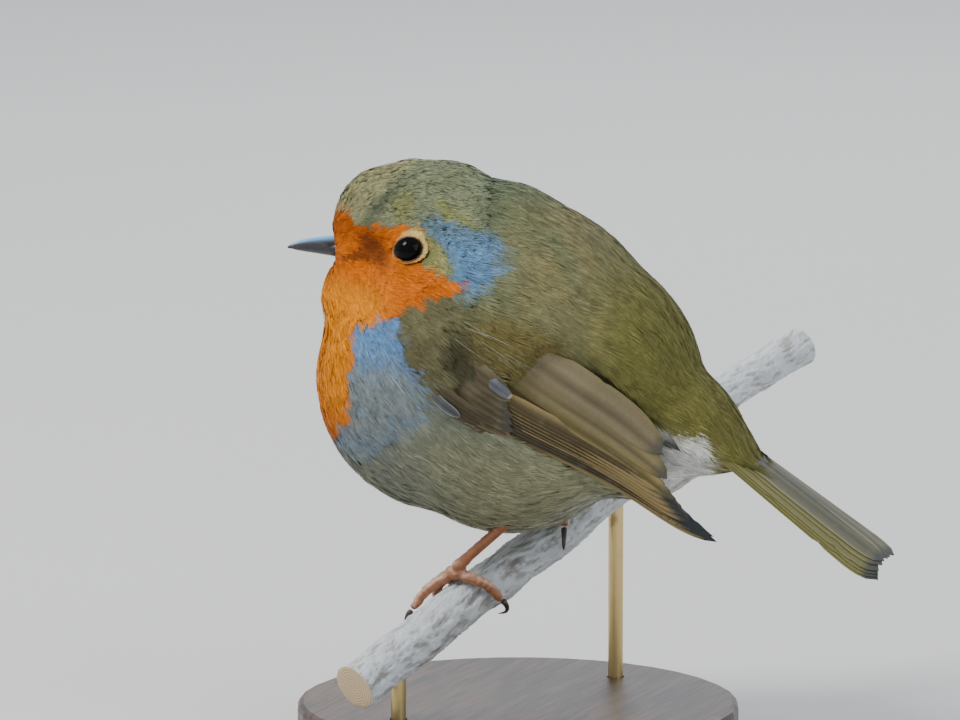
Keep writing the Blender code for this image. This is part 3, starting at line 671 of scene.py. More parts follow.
def scatter(count, weight):
    """Evenly spread places on the outside of the plumage, weighted by a function of place."""
    corners = outer[outer_faces]
    middles = corners.mean(1)
    areas = np.linalg.norm(np.cross(corners[:, 1] - corners[:, 0], corners[:, 2] - corners[:, 0]), axis=1)
    shares = np.cumsum(areas * weight(middles))
    picks = np.searchsorted(shares, (np.arange(count) + rng.uniform(0, 1, count)) / count * shares[-1])
    picks = np.minimum(picks, len(outer_faces) - 1)
    a, b = rng.uniform(0, 1, (2, count))
    fold = a + b > 1
    a[fold], b[fold] = 1 - a[fold], 1 - b[fold]
    parts = np.stack((1 - a - b, a, b), 1)[:, :, None]
    places = (corners[picks] * parts).sum(1)
    return places, unit((outer_normals[outer_faces[picks]] * parts).sum(1))


def unwrap(p):
    """Where a place lies on the skin opened out as a globe is, round the upright axis of the trunk."""
    direction = unit(p - (0, 2, 2))
    across = np.arctan2(direction[:, 0], -direction[:, 1]) / (2 * math.pi) + 0.5
    return np.stack((across, np.arccos(np.clip(direction[:, 2], -1, 1)) / math.pi), 1)


def mesh_piece(name, places, faces, uv, colours, along, normals=None):
    """A joined mesh from arrays, with its colours, its OFBake map and its place on the body."""
    mesh = bpy.data.meshes.new(name)
    mesh.vertices.add(len(places))
    mesh.vertices.foreach_set("co", to_world(places).astype(np.float32).ravel())
    sides = faces.shape[1]
    mesh.loops.add(faces.size)
    mesh.loops.foreach_set("vertex_index", faces.astype(np.int32).ravel())
    mesh.polygons.add(len(faces))
    mesh.polygons.foreach_set("loop_start", np.arange(0, faces.size, sides, dtype=np.int32))
    mesh.update(calc_edges=True)
    layer = mesh.uv_layers.new(name="OFBake")
    layer.uv.foreach_set("vector", uv[faces.ravel()].astype(np.float32).ravel())
    if normals is not None:
        mesh.normals_split_custom_set_from_vertices(normals.astype(np.float32))
    piece = bpy.data.objects.new(name, mesh)
    bpy.context.scene.collection.objects.link(piece)
    paint(piece, colours, along)
    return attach(piece, "root")


def coat_finish():
    made = Finish("body_feathers", Sheen_Weight=0.04, Sheen_Roughness=0.5, Specular_IOR_Level=0.12)
    tint = made.node("VertexColor", {"layer_name": "plumage"})
    along = tint.output("Alpha")
    fleck = made.noise(1100, 2)
    shade = made.mix(1.0, tint, made.mix(fleck, (0.78, 0.78, 0.79, 1), (1.22, 1.21, 1.19, 1)), "MULTIPLY")
    paler_tip = made.mix(made.step(along, 0.5, 1.0), (0.92, 0.92, 0.92, 1), (1.1, 1.1, 1.09, 1))
    return made.finish(Base_Color=made.mix(1.0, shade, paler_tip, "MULTIPLY"), Roughness=0.7 + fleck * 0.2)


coat_material = coat_finish()


PATCH_ACROSS, PATCH_ALONG = 0.0013, 0.0028      # a tuft's patch on the OFBake map


def strands(name, lines, blades, normals, half, colours, roots, spread):
    """Fine tapering strips as one mesh. Every strand has stations with a place, a direction across,
    an outward direction and a half breadth; the last station is its point."""
    count, stations = half.shape
    rings = 2 * stations - 1
    places = np.empty((count, rings, 3))
    places[:, 0:-1:2] = (lines - blades * half[..., None])[:, :-1]
    places[:, 1::2] = (lines + blades * half[..., None])[:, :-1]
    places[:, -1] = lines[:, -1]
    pattern = []
    for k in range(0, 2 * stations - 4, 2):
        pattern += [(k, k + 3, k + 1), (k, k + 2, k + 3)]
    pattern.append((rings - 3, rings - 1, rings - 2))
    faces = ((np.arange(count) * rings)[:, None, None] + np.array(pattern)).reshape(-1, 3)

    def per_ring(values):
        return np.repeat(values, 2, axis=1)[:, :rings]

    along = per_ring(np.broadcast_to(np.linspace(0, 1, stations), (count, stations)))
    edges = np.where(np.arange(rings) % 2, 0.12, -0.12) * (np.arange(rings) < rings - 1)
    patch = np.stack(((spread[:, None] + edges) * PATCH_ACROSS, (along - 0.5) * PATCH_ALONG), -1)
    uv = np.clip(unwrap(roots)[:, None, :] + patch, 0.0005, 0.9995)
    shading = unit(per_ring(normals) + per_ring(blades) * (edges * 1.6)[None, :, None])
    if colours.ndim == 2:
        colours = np.broadcast_to(colours[:, None, :], (count, stations, 3))
    piece = mesh_piece(name, places.reshape(-1, 3), faces, uv.reshape(-1, 2),
                       per_ring(colours).reshape(-1, 3), along.ravel(), shading.reshape(-1, 3))
    piece.data.materials.append(coat_material)
    return piece


def lay(places, normals, length, stray):
    """Walks each feather's middle line over the outside of the plumage, following the lie."""
    count = len(places)
    centres = np.zeros((count, LIE_STEPS, 3))
    ups = np.zeros((count, LIE_STEPS, 3))
    centres[:, 0], ups[:, 0] = places, normals
    step = length / (LIE_STEPS - 1)
    spin = rng.normal(0, stray, count)
    for k in range(1, LIE_STEPS):
        here, n = centres[:, k - 1], ups[:, k - 1]
        flow = lie_of_coat(here, n)
        flow = flow * np.cos(spin)[:, None] + np.cross(n, flow) * np.sin(spin)[:, None]
        guess = here + flow * step[:, None]
        for i in range(count):
            found, up, _, gap = outer_tree.find_nearest(guess[i])
            if gap < 0.7 * step[i]:
                centres[i, k], ups[i, k] = found, up
            else:
                centres[i, k], ups[i, k] = guess[i], n[i]
        ups[:, k] = unit(ups[:, k] + ups[:, k - 1])
    return centres, ups


def tufts(name, centres, ups, width, barbs, stations, thick, lift, tone_jitter):
    """Feathers of loose barbs: every barb a thin tapering blade from the quill to the feather's rim."""
    # Each barb leaves the quill near its root and ends on the feather's rounded rim.
    count = len(centres)
    width = width * rng.uniform(0.85, 1.15, count)
    depth = coat_depth(centres[:, 0])
    tangents = unit(np.gradient(centres, axis=1))
    sides = unit(np.cross(ups, tangents))
    spread = np.linspace(-1, 1, barbs)[None, :] + rng.normal(0, 0.6 / barbs, (count, barbs))
    start = rng.uniform(0.0, 0.2, (count, barbs))
    end = (1.0 - 0.28 * spread**2) * rng.uniform(0.84, 1.04, (count, barbs))
    share = np.linspace(0, 1, stations)
    t = start[..., None] + (end - start)[..., None] * share
    where = np.clip(t, 0, 1) * (LIE_STEPS - 1)
    low = np.minimum(where.astype(int), LIE_STEPS - 2)
    part = (where - low)[..., None]
    rows = np.arange(count)[:, None, None]

    def along_line(values):
        return values[rows, low] * (1 - part) + values[rows, low + 1] * part

    # They fan out to the sides, rise out of the skin and then lie at their feather's own level.
    middle, up, side = along_line(centres), unit(along_line(ups)), unit(along_line(sides))
    fan = spread[..., None] * share**0.7 * (width / 2)[:, None, None]
    fan = fan + np.cumsum(rng.normal(0, 0.022, t.shape), 2) * width[:, None, None]
    level = rng.uniform(-0.42, 0.02, count)[:, None, None]
    level = level + rng.uniform(-0.1, 0.1, (count, barbs))[..., None]
    risen = 0.22 + 0.23 * smooth(eye_gap(centres[:, 0]), 1.4, 2.6)
    rise = smooth(t, 0.0, risen[:, None, None])
    tip_lift = lift * np.clip(t - 0.6, 0, 1) ** 2 * 4 * rng.uniform(0.2, 1.3, (count, barbs))[..., None]
    height = -depth[:, None, None] * (1 - rise) + level * rise * np.minimum(depth, 1)[:, None, None]
    lines = middle + side * fan[..., None] + up * (height + tip_lift - fan**2 / 40)[..., None]

    # Blades are broadest a third of the way out, tilted a little, and shaded as a rounded feather.
    heading = unit(np.gradient(lines, axis=2))
    tilt = rng.normal(0, 0.22, (count, barbs))[..., None, None]
    blades = unit(unit(np.cross(up, heading)) + up * tilt)
    profile = np.interp(share, (0, 0.35, 0.8, 1), (0.6, 1.0, 0.75, 0.0))
    half = thick / 2 * rng.uniform(0.75, 1.25, (count, barbs))[..., None] * profile
    shading = unit(up + blades * (spread * 0.16)[..., None, None] + heading * 0.10)

    # A feather has the colour of the markings near its tip, darkened towards the root by painted shade, where
    # it lies under the feathers above; a few barbs are paler.
    tint = markings(centres[:, LIE_STEPS - 2] + rng.normal(0, 0.35, (count, 3)))
    tone = rng.normal(1, 0.045, (count, 1)) * rng.normal(1, tone_jitter, (count, barbs))
    tone = tone * np.where(rng.uniform(0, 1, (count, barbs)) < 0.05, 1 + 3 * tone_jitter, 1)
    # Painted shade: every barb is darker towards its root.
    painted_root_shade = 0.72 + 0.30 * smooth(t, 0.1, 0.75)
    colours = tint[:, None, None, :] * (tone[..., None] * painted_root_shade)[..., None]
    roots = np.repeat(centres[:, 0], barbs, axis=0)

    def flat(values):
        return values.reshape(count * barbs, *values.shape[2:])

    return strands(name, flat(lines), flat(blades), flat(shading), flat(half), flat(colours), roots,
                   spread.ravel())


# Where the stiff feathers of the wing show, as distance and height along it; no loose ones cover them.
VANES_ABOVE = ((17.5, -0.9), (23, 5.4), (29, 8.2), (34, 11.8), (36.5, 16.5), (41.7, 15.3), (49.7, 12.8),
               (56, 10), (75, 5))
VANES_BELOW = ((17.5, -0.9), (21.5, -5.2), (31, -3.9), (42, -3.5), (54, -1.2), (75, -3))


def on_vanes(p):
    along, across = wing_coordinates(p)
    inside = (across < edge(VANES_ABOVE, along)) & (across > edge(VANES_BELOW, along))
    return inside & (along > VANES_ABOVE[0][0]) & (along < VANES_ABOVE[-1][0]) & (np.abs(p[:, 0]) > 9)


def rooted(p):
    """Weight for roots: none inside the eyes' opening, under the bill or far down the tail."""
    forward, left, up = head_coordinates(p)
    off_bill = (np.hypot(left / 2.0, (up + 0.2) / 2.3) > 1.0) | (forward < 12)
    off_tail = (p - TAIL_ROOT) @ TAIL_ALONG < 16.5
    gap = eye_gap(p)
    return np.where(off_bill & off_tail & (gap > 1.12), 1 + 2 * smooth(gap, 1.9, 1.3), 0.0)


def from_face(p):
    return np.linalg.norm((p - head_to_body(8, 0, -1)) / (1, 1, 0.9), axis=1)


def part_of_coat(p):
    """The name of the coat's part at each place, as the last of these rules that holds there."""
    x, y, z = p.T
    up = z - HEAD_CENTRE[2]
    forward, _, _ = head_coordinates(p)
    along, across = wing_coordinates(p)
    part = np.full(len(p), "back", dtype="<U8")
    part[z < 2] = "flank"
    part[z < -17] = "belly"
    part[(y > 30) & (z < -8)] = "rump"
    part[(y < 4) & (z > 2)] = "neck"
    part[(y < -17) & (z <= 12) & (z > -24)] = "bib"
    part[(np.abs(x) > 17) & (along > -2) & (along < 38) & (across > -5) & (across < 17)] = "shoulder"
    part[(up > 3) & (forward > -11)] = "crown"
    part[from_face(p) < FACE_REACH] = "face"
    return part


# How many, length, width, barbs, stations of a barb, its breadth, spread of headings, lift, unevenness
COAT = {
    "face": (4300, 2.9, 1.4, 9, 4, 0.17, 0.13, 0.06, 0.06, "orange_plumage"),
    "crown": (2600, 3.6, 1.6, 10, 4, 0.19, 0.12, 0.08, 0.10, "olive_plumage"),
    "bib": (3300, 5.6, 2.3, 15, 4, 0.205, 0.13, 0.15, 0.06, "orange_plumage"),
    "neck": (2500, 6.6, 2.5, 15, 4, 0.205, 0.12, 0.15, 0.09, "grey_plumage"),
    "back": (2700, 7.2, 2.7, 16, 4, 0.21, 0.12, 0.15, 0.10, "olive_plumage"),
    "shoulder": (1500, 6.4, 2.7, 16, 4, 0.21, 0.09, 0.12, 0.08, "olive_plumage"),
    "flank": (2000, 7.6, 2.8, 16, 4, 0.21, 0.16, 0.25, 0.11, "belly_plumage"),
    "belly": (2000, 8.2, 2.9, 16, 4, 0.21, 0.20, 0.35, 0.11, "belly_plumage"),
    "rump": (1100, 7.4, 2.6, 16, 4, 0.21, 0.10, 0.15, 0.10, "belly_plumage"),
}
PIECE_LIMIT = 190000
for part, row in COAT.items():
    count, length, width, barbs, stations, thick, stray, lift, jitter, slot = row
    places, normals = scatter(count, lambda p: rooted(p) * (part_of_coat(p) == part))
    if part == "face":
        growth = 0.8 + 0.5 * smooth(from_face(places), 4, FACE_REACH)
    else:
        growth = 0.62 + 0.38 * smooth(from_face(places), 13, 21)
    growth = growth * (1 + 0.45 * smooth((places - TAIL_ROOT) @ TAIL_ALONG, 7, COVERTS_END))
    centres, ups = lay(places, normals, length * growth * rng.uniform(0.82, 1.18, count), stray)
    clear = ~(on_vanes(centres[:, 0]) | on_vanes(centres[:, -1]) | on_vanes(centres[:, -3]))
    clear &= eye_gap(centres.reshape(-1, 3)).reshape(-1, LIE_STEPS).min(1) > 1.15
    centres, ups = centres[clear], ups[clear]
    pieces = -(-len(centres) * barbs * (2 * stations - 3) // PIECE_LIMIT)
    order = np.argsort(centres[:, 0, 0], kind="stable")
    for number, chosen in enumerate(np.array_split(order, pieces)):
        label = "coat_" + part + ("_%d" % (number + 1) if pieces > 1 else "")
        tufts(label, centres[chosen], ups[chosen], width, barbs, stations, thick, lift, jitter)

# ----------------------------------------------------------------------------------------------------
# Flight feathers. A folded wing is a stack of stiff vanes, each a quill with a web on both sides, with
# golden rims; tertials lie on top, coverts over their roots, and the alula at the bend of the wing.


WING_FIT = (72, 18)                     # length and height over which the wing's face is fitted
VANE_SINK = 0.5                         # of the vanes below that face, so that the topmost lie on it


def wing_surface(side):
    """A smooth fit of how far the wing's outer face stands from the midline."""
    word = "left" if side > 0 else "right"
    corners, faces = [], []
    for node in ("wing_coverts_", "wing_tertials_", "wing_primaries_"):
        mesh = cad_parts[node + word].data
        first = len(corners)
        corners += [(v.co - Vector((0, 0, TRUNK_HEIGHT * MM))) / MM for v in mesh.vertices]
        faces += [[first + i for i in polygon.vertices] for polygon in mesh.polygons]
    tree = BVHTree.FromPolygons(corners, faces)
    seen = []
    for distance in np.linspace(1, 71, 50):
        for across in np.linspace(-6.5, 17.5, 40):
            y, z = wing_plane(distance, across, side)
            hit = tree.ray_cast(Vector((60 * side, y, z)), Vector((-side, 0, 0)))
            if hit[0]:
                seen.append((distance, across, abs(hit[0].x)))
    seen = np.array(seen)
    powers = [(i, k) for i in range(6) for k in range(4) if i + k < 6]
    along, above = seen[:, 0] / WING_FIT[0], seen[:, 1] / WING_FIT[1]
    terms = np.stack([along**i * above**k for i, k in powers], 1)
    weights = np.linalg.lstsq(terms, seen[:, 2], rcond=None)[0]
    return powers, weights


def wing_plane(distance, across, side):
    y, z = WING_WRIST + WING_CHORD * distance + WING_ACROSS * across
    lift = RIGHT_WING_LIFT if side < 0 else 0.0
    return y, z + lift * (max(distance, 0) / WING_SPAN) ** 1.3


def on_wing(grid, outward, side, surface):
    """Places for (distance, across) points standing out from the fitted wing."""
    powers, weights = surface
    distance, across = grid[..., 0], grid[..., 1]
    along = np.clip(distance, 0, WING_FIT[0]) / WING_FIT[0]
    above = np.clip(across, -6, WING_FIT[1]) / WING_FIT[1]
    reach = sum(w * along**i * above**k for (i, k), w in zip(powers, weights))
    plane = WING_WRIST + distance[..., None] * WING_CHORD + across[..., None] * WING_ACROSS
    lift = (RIGHT_WING_LIFT if side < 0 else 0.0) * (np.clip(distance, 0, None) / WING_SPAN) ** 1.3
    return np.stack((side * (reach + outward), plane[..., 0], plane[..., 1] + lift), -1)


# A vane's points: across it, close together at the shaft and the rims, and along it.
COLUMNS = np.array((-1, -0.95, -0.88, -0.72, -0.4, -0.05, 0, 0.05, 0.4, 0.72, 0.88, 0.95, 1))
ROWS = 30
BARB_SLANT = 0.55                       # how far the webs lie forward for their breadth


def vane_shape(root, tip, half_width, sag, outer_share, blunt, notches):
    """A feather laid flat: its grid of points, the share of its length, and the distance from its rim."""
    root, tip = np.array(root, float), np.array(tip, float)
    t = np.linspace(0, 1, ROWS)
    chord = tip - root
    length = np.hypot(*chord)
    across = np.array((-chord[1], chord[0])) / length
    line = root + t[:, None] * chord + (sag * 4 * t * (1 - t))[:, None] * across
    narrowing = np.clip(1 - ((t - blunt) / (1 - blunt)).clip(0) ** 2.2, 0, 1) ** 0.5
    profile = np.minimum(1, 0.4 + t / 0.25 * 0.6) * narrowing
    webs = np.where(COLUMNS < 0, outer_share, 1.0) * half_width
    reach = profile[:, None] * (COLUMNS * webs)[None, :]
    # A notch is a small bite out of one web where its barbs have parted.
    for _ in range(notches):
        at, far_web, bite = rng.uniform(0.35, 0.95), rng.integers(2), rng.uniform(0.86, 0.95)
        chosen = COLUMNS > 0.8 if far_web else COLUMNS < -0.8
        reach[int(at * (ROWS - 1)), chosen] *= bite
    slant = np.abs(reach) * BARB_SLANT * (1 - t[:, None] ** 4)
    grid = line[:, None, :] + reach[..., None] * across + slant[..., None] * chord / length
    rim = (1 - np.abs(COLUMNS))[None, :] * np.abs(webs)[None, :] * profile[:, None]
    end_rim = (1 - t)[:, None] * length + np.zeros_like(rim)
    return grid, t, np.minimum(rim, end_rim), reach


def vane_height(quill, t, reach, shaft, number):
    """How high a feather stands: domed over its shaft, sunk at the root, drooping at the tip."""
    camber = 0.16 * (1 - np.abs(COLUMNS[None, :])) + 0.10 * shaft
    height = quill["height"] + camber * np.minimum(1, 2 * (1.02 - t)) - quill["droop"] * t**2
    height = height - quill["sink"] * (1 - smooth(t, 0.05, quill["risen"]))
    return height + 0.03 * np.sin(reach * 3 + number) * t


def vane_colour(quill, t, rim, reach, shaft, number):
    """A feather's own colour with its fringe, its darker shaft and its tip."""
    base, fringe, width = (np.array(quill[key]) for key in ("base", "fringe", "fringe_width"))
    share = (smooth(rim, width, width * 0.45) * smooth(t, 0.02, 0.2))[..., None]
    colour = base + (fringe - base) * share
    colour = colour * (1 + 0.10 * np.sin(reach * 2.4 + 5 * t + number))[..., None] * rng.normal(1, 0.04)
    colour = colour * (1 - 0.35 * shaft)[..., None]
    if quill["tip_colour"]:
        near_tip = (smooth(t, quill["tip_from"], quill["tip_from"] + 0.06) * np.ones(len(COLUMNS)))[..., None]
        colour = colour + (np.array(quill["tip_colour"]) - colour) * near_tip
    return colour


def vanes(name, feathers, place, thickness=0.07):
    """Joins feathers into one mesh. Each feather gives its shape, its height and its colours."""
    tops, colours, run, faces, uv = [], [], [], [], []
    rows, columns = ROWS, len(COLUMNS)
    size = rows * columns
    index = np.arange(size).reshape(rows, columns)
    quad = np.stack((index[:-1, :-1], index[:-1, 1:], index[1:, 1:], index[1:, :-1]), -1).reshape(-1, 4)
    ring = np.concatenate((index[0, :-1], index[:-1, -1], index[-1, :0:-1], index[:0:-1, 0]))
    rim_faces = np.stack((ring, np.roll(ring, -1), np.roll(ring, -1) + size, ring + size), -1)
    shaft = (np.abs(COLUMNS) < 0.06)[None, :] * np.ones((rows, 1))
    cells = math.ceil(math.sqrt(2 * len(feathers)))
    for number, quill in enumerate(feathers):
        grid, t, rim, reach = vane_shape(*quill["shape"])
        t = t[:, None]
        height = vane_height(quill, t, reach, shaft, number)
        high, low = place(grid, height), place(grid, height - thickness)
        colour = vane_colour(quill, t, rim, reach, shaft, number)
        faces.append(np.concatenate((quad, quad[:, ::-1] + size, rim_faces[:, ::-1])) + number * 2 * size)
        tops += [high.reshape(-1, 3), low.reshape(-1, 3)]
        colours += [colour.reshape(-1, 3)] * 2
        run += [(t * 40 + np.abs(reach)).reshape(-1)] * 2
        cell = np.stack(((COLUMNS * 0.45 + 0.5)[None, :] * np.ones((rows, 1)), t * np.ones(columns)), -1)
        for spot_number in (2 * number, 2 * number + 1):
            corner = np.array((spot_number % cells, spot_number // cells))
            uv.append(((corner + 0.03 + 0.94 * cell) / cells).reshape(-1, 2))
    piece = mesh_piece(name, np.concatenate(tops), np.concatenate(faces), np.concatenate(uv),
                       np.concatenate(colours), None)
    layer = piece.data.attributes.new("barb_run", "FLOAT", "POINT")
    layer.data.foreach_set("value", np.concatenate(run).astype(np.float32))
    use(piece)
    edit_whole(bpy.ops.mesh.normals_make_consistent, inside=False)
    bpy.ops.object.shade_smooth_by_angle(angle=math.radians(40))
    piece.data.materials.append(vane_material)
    return piece


def vane_finish():
    made = Finish("flight_feathers", Sheen_Weight=0.04, Specular_IOR_Level=0.2)
    tint = made.node("VertexColor", {"layer_name": "plumage"})
    run = made.node("Attribute", {"attribute_name": "barb_run"}).output("Fac")
    worn = made.noise(260, 4)
    fleck = made.noise(1500, 2)
    lines = run.math("SINE", run * 22.0) * 0.5 + 0.5
    shade = made.mix(lines * 0.45 + fleck * 0.5, (0.72, 0.72, 0.73, 1), (1.24, 1.23, 1.2, 1))
    tone = made.mix(1.0, tint, shade, "MULTIPLY")
    faded = made.mix(made.step(worn, 0.52, 0.78) * 0.14, tone, (0.30, 0.27, 0.19, 1))
    return made.finish(
        Base_Color=faded,
        Roughness=0.5 + worn * 0.25,
        Normal=made.bump(lines * 0.6 + fleck * 0.4, 0.00005, 0.5),
    )


vane_material = vane_finish()
FLIGHT_DARK = (0.060, 0.046, 0.022)
FLIGHT_GOLD = (0.250, 0.185, 0.078)
TIP_GREY = (0.027, 0.033, 0.038)
TERTIAL_BROWN = (0.190, 0.156, 0.088)
TERTIAL_GOLD = (0.165, 0.132, 0.050)
COVERT_BROWN = (0.088, 0.068, 0.038)
COVERT_RIM = (0.140, 0.112, 0.062)
ALULA_GREY = (0.078, 0.084, 0.088)
LILAC = (0.105, 0.112, 0.138)
PALE_RIM = (0.46, 0.45, 0.40)


def feather(root, tip, half_width, height, base, fringe, fringe_width=0.4, sag=0.0, outer_share=1.0,
            blunt=0.75, notches=2, droop=0.0, sink=0.8, risen=0.3, tip_colour=None, tip_from=0.93):
    return {"shape": (root, tip, half_width, sag, outer_share, blunt, notches), "height": height,
            "base": base, "fringe": fringe, "fringe_width": fringe_width, "droop": droop, "sink": sink,
            "risen": risen, "tip_colour": tip_colour, "tip_from": tip_from}


def lerp(a, b, t):
    return tuple(x + (y - x) * t for x, y in zip(a, b))


COVERT_TIP_DARK = lerp(TIP_GREY, COVERT_RIM, 0.35)
COVERT_TIP_PALE = lerp(COVERT_RIM, TERTIAL_BROWN, 0.6)


def wing_feathers():
    """Every large feather of one wing, from the lowest in the stack to the topmost."""
    made = {"primaries": [], "tertials": [], "coverts": []}
    for i, tip in enumerate(((72.4, 0.0), (71.3, 0.6), (69.5, 1.2), (67.0, 1.8))):
        made["primaries"].append(feather(
            (16, -3.2 + 0.75 * i), tip, 1.6, -1.0 + 0.11 * i, lerp(FLIGHT_DARK, TIP_GREY, 0.3), FLIGHT_GOLD,
            0.85, sag=-0.7, outer_share=0.72, blunt=0.7, tip_colour=TIP_GREY, tip_from=0.91 - 0.05 * i))
    for i in range(5):
        made["primaries"].append(feather(
            (17, -0.2 + 0.72 * i), (66.5 - 1.7 * i, 1.3 + 0.62 * i), 2.1, -0.56 + 0.11 * i,
            lerp(FLIGHT_DARK, FLIGHT_GOLD, 0.07 * i), FLIGHT_GOLD,
            0.9, sag=-0.35, outer_share=0.66, blunt=0.82, tip_colour=TIP_GREY, tip_from=0.92))
    for i, (root, tip, half, base, rim) in enumerate((
        ((18, 5.2), (61.5, 3.2), 2.5, TERTIAL_GOLD, FLIGHT_GOLD),
        ((19, 7.6), (58.2, 6.0), 3.6, lerp(TERTIAL_GOLD, TERTIAL_BROWN, 0.55), TERTIAL_GOLD),
        ((20, 11.2), (54.4, 9.4), 4.3, TERTIAL_BROWN, lerp(TERTIAL_GOLD, TERTIAL_BROWN, 0.5)),
    )):
        made["tertials"].append(feather(
            root, tip, half, 0.02 + 0.18 * i, base, rim, 0.7, sag=0.5 + 0.3 * i, outer_share=0.52 + 0.1 * i,
            blunt=0.42, notches=2, droop=0.1, sink=2.3, risen=0.5,
            tip_colour=lerp(base, TIP_GREY, 0.65), tip_from=0.9))
    for i in range(4):
        made["coverts"].append(feather(
            (9.0, -5.6 + 0.9 * i), (28.5 - 0.7 * i, -5.0 + 0.75 * i), 1.1, 0.1 * i,
            lerp(COVERT_BROWN, FLIGHT_DARK, 0.5), COVERT_BROWN, 0.3, blunt=0.7))
    for i in range(7):
        tip = lerp((30.6, -3.5), (25.8, 4.6), i / 6)
        inner = max(0.0, (i - 5) / 5)
        dark_tipped = 0 < i < 5
        made["coverts"].append(feather(
            (12.0, -4.0 + 1.5 * i), (tip[0] + rng.uniform(-0.7, 0.7), tip[1]), 1.6, 0.28 + 0.06 * i,
            lerp(COVERT_BROWN, TERTIAL_GOLD, inner), lerp(COVERT_RIM, TERTIAL_BROWN, inner), 0.55,
            sag=0.2, blunt=0.4, sink=1.3, risen=0.7, droop=0.25,
            tip_colour=COVERT_TIP_DARK if dark_tipped else COVERT_TIP_PALE,
            tip_from=0.84 if dark_tipped else 0.93))
    made["coverts"].append(feather(
        (19.5, 4.9), (26.4, 4.2), 1.1, 0.95, LILAC, LILAC, 0.3, blunt=0.5, sink=0.9, risen=0.4,
        tip_colour=(0.34, 0.31, 0.24), tip_from=0.88))
    made["coverts"].append(feather(
        (7.5, -4.9), (20.4, -5.2), 1.25, 0.7, ALULA_GREY, lerp(PALE_RIM, ALULA_GREY, 0.62), 0.2,
        sag=-0.3, outer_share=0.8, blunt=0.7, sink=1.5, risen=0.75))
    return made


for side, word in ((1, "left"), (-1, "right")):
    surface = wing_surface(side)
    for group, feathers in wing_feathers().items():
        piece = vanes("wing_" + group + "_feathers_" + word, feathers,
                      lambda grid, height: on_wing(grid, height - VANE_SINK, side, surface))
        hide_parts("wing_" + group + "_" + word)

# ----------------------------------------------------------------------------------------------------
# Tail. Twelve stiff feathers closed like a fan, the middle pair on top and the outermost lowest: grey
# brown vanes with thin pale rims, and olive on the outer webs of all but the middle pairs.

TAIL_GREY = (0.078, 0.077, 0.062)
TAIL_OLIVE = (0.165, 0.155, 0.052)
TAIL_RIM = (0.190, 0.180, 0.110)
TAIL_SPREAD = (0.9, 2.2, 4.2, 4.9, 5.4, 5.8)    # of the feathers' tips from the midline, by pair


def on_tail(grid, height):
    distance, across = grid[..., 0], grid[..., 1]
    arch = (0.9 - 0.16 * across) * np.clip(distance / TAIL_LENGTH, 0, 1) - 0.8 * (across / 8.6) ** 2
    lift = height * (1 - 0.25 * np.clip(distance / TAIL_LENGTH, 0, 1)) + arch
    middle = TAIL_ROOT + distance[..., None] * TAIL_ALONG + lift[..., None] * TAIL_UP
    return middle + across[..., None] * (1, 0, 0)


tail_feathers = []
for pair, spread in reversed(tuple(enumerate(TAIL_SPREAD))):
    for side in (-1, 1):
        olive = min(1.0, 0.35 + pair / 1.5) if side > 0 else min(0.2, 0.1 * pair)
        tip = (51.4 + (0.4 if side > 0 else -0.05) * pair, side * spread)
        tail_feathers.append(feather(
            (0.5, side * (0.4 + 0.55 * spread)), tip, 3.3, -0.75 + 0.24 * (5 - pair) + 0.08 * (side > 0),
            lerp(TAIL_GREY, TAIL_OLIVE, 0.55 * olive), lerp(TAIL_RIM, TAIL_OLIVE, olive), 0.3 + 0.9 * olive,
            sag=side * 0.25, blunt=0.84, notches=2, sink=0.6, tip_colour=lerp(TAIL_GREY, TIP_GREY, 0.7),
            tip_from=0.92))
tail = vanes("tail_feathers", tail_feathers, on_tail, 0.09)
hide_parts("tail_centre", "tail_side_left", "tail_side_right")

# ----------------------------------------------------------------------------------------------------
# Bill. Two slim mandibles of near black horn, with a painted sky reflection: pale blue painted on every
# upward face, over the top of the upper mandible and along the cutting edge of the lower one. A slit
# nostril lies in a small hollow, and a dark gape line runs back into the face.

BILL_TIP = (27.3, 0.0, 0.6)
BILL_LENGTH = 14.2
BILL_HALF_WIDTH = 2.3
BILL_DEPTHS = {True: 4.0, False: 1.5}   # of the upper mandible and the lower one
NOSTRIL = (18.2, 1.15)


def lofted(name, centres, rights, ups, shape, sides):
    """A ring extruded through stations, each placed by its centre, its two directions and a shape."""
    deselect()
    bpy.ops.mesh.primitive_circle_add(vertices=sides, radius=1.0, fill_type="NGON")
    piece = bpy.context.object
    piece.name = piece.data.name = name
    bpy.ops.object.mode_set(mode="EDIT")
    bpy.ops.mesh.select_all(action="SELECT")
    for _ in range(len(centres) - 1):
        bpy.ops.mesh.extrude_region_move(TRANSFORM_OT_translate={"value": (0, 0, 1)})
    bpy.ops.object.mode_set(mode="OBJECT")
    places = rows_of(piece, "co")
    k = np.rint(places[:, 2]).astype(int)
    x, y = shape(k, places[:, 0], places[:, 1])
    set_vertices(piece, centres[k] + rights[k] * x[:, None] + ups[k] * y[:, None])
    edit_whole(bpy.ops.mesh.normals_make_consistent, inside=False)
    return piece


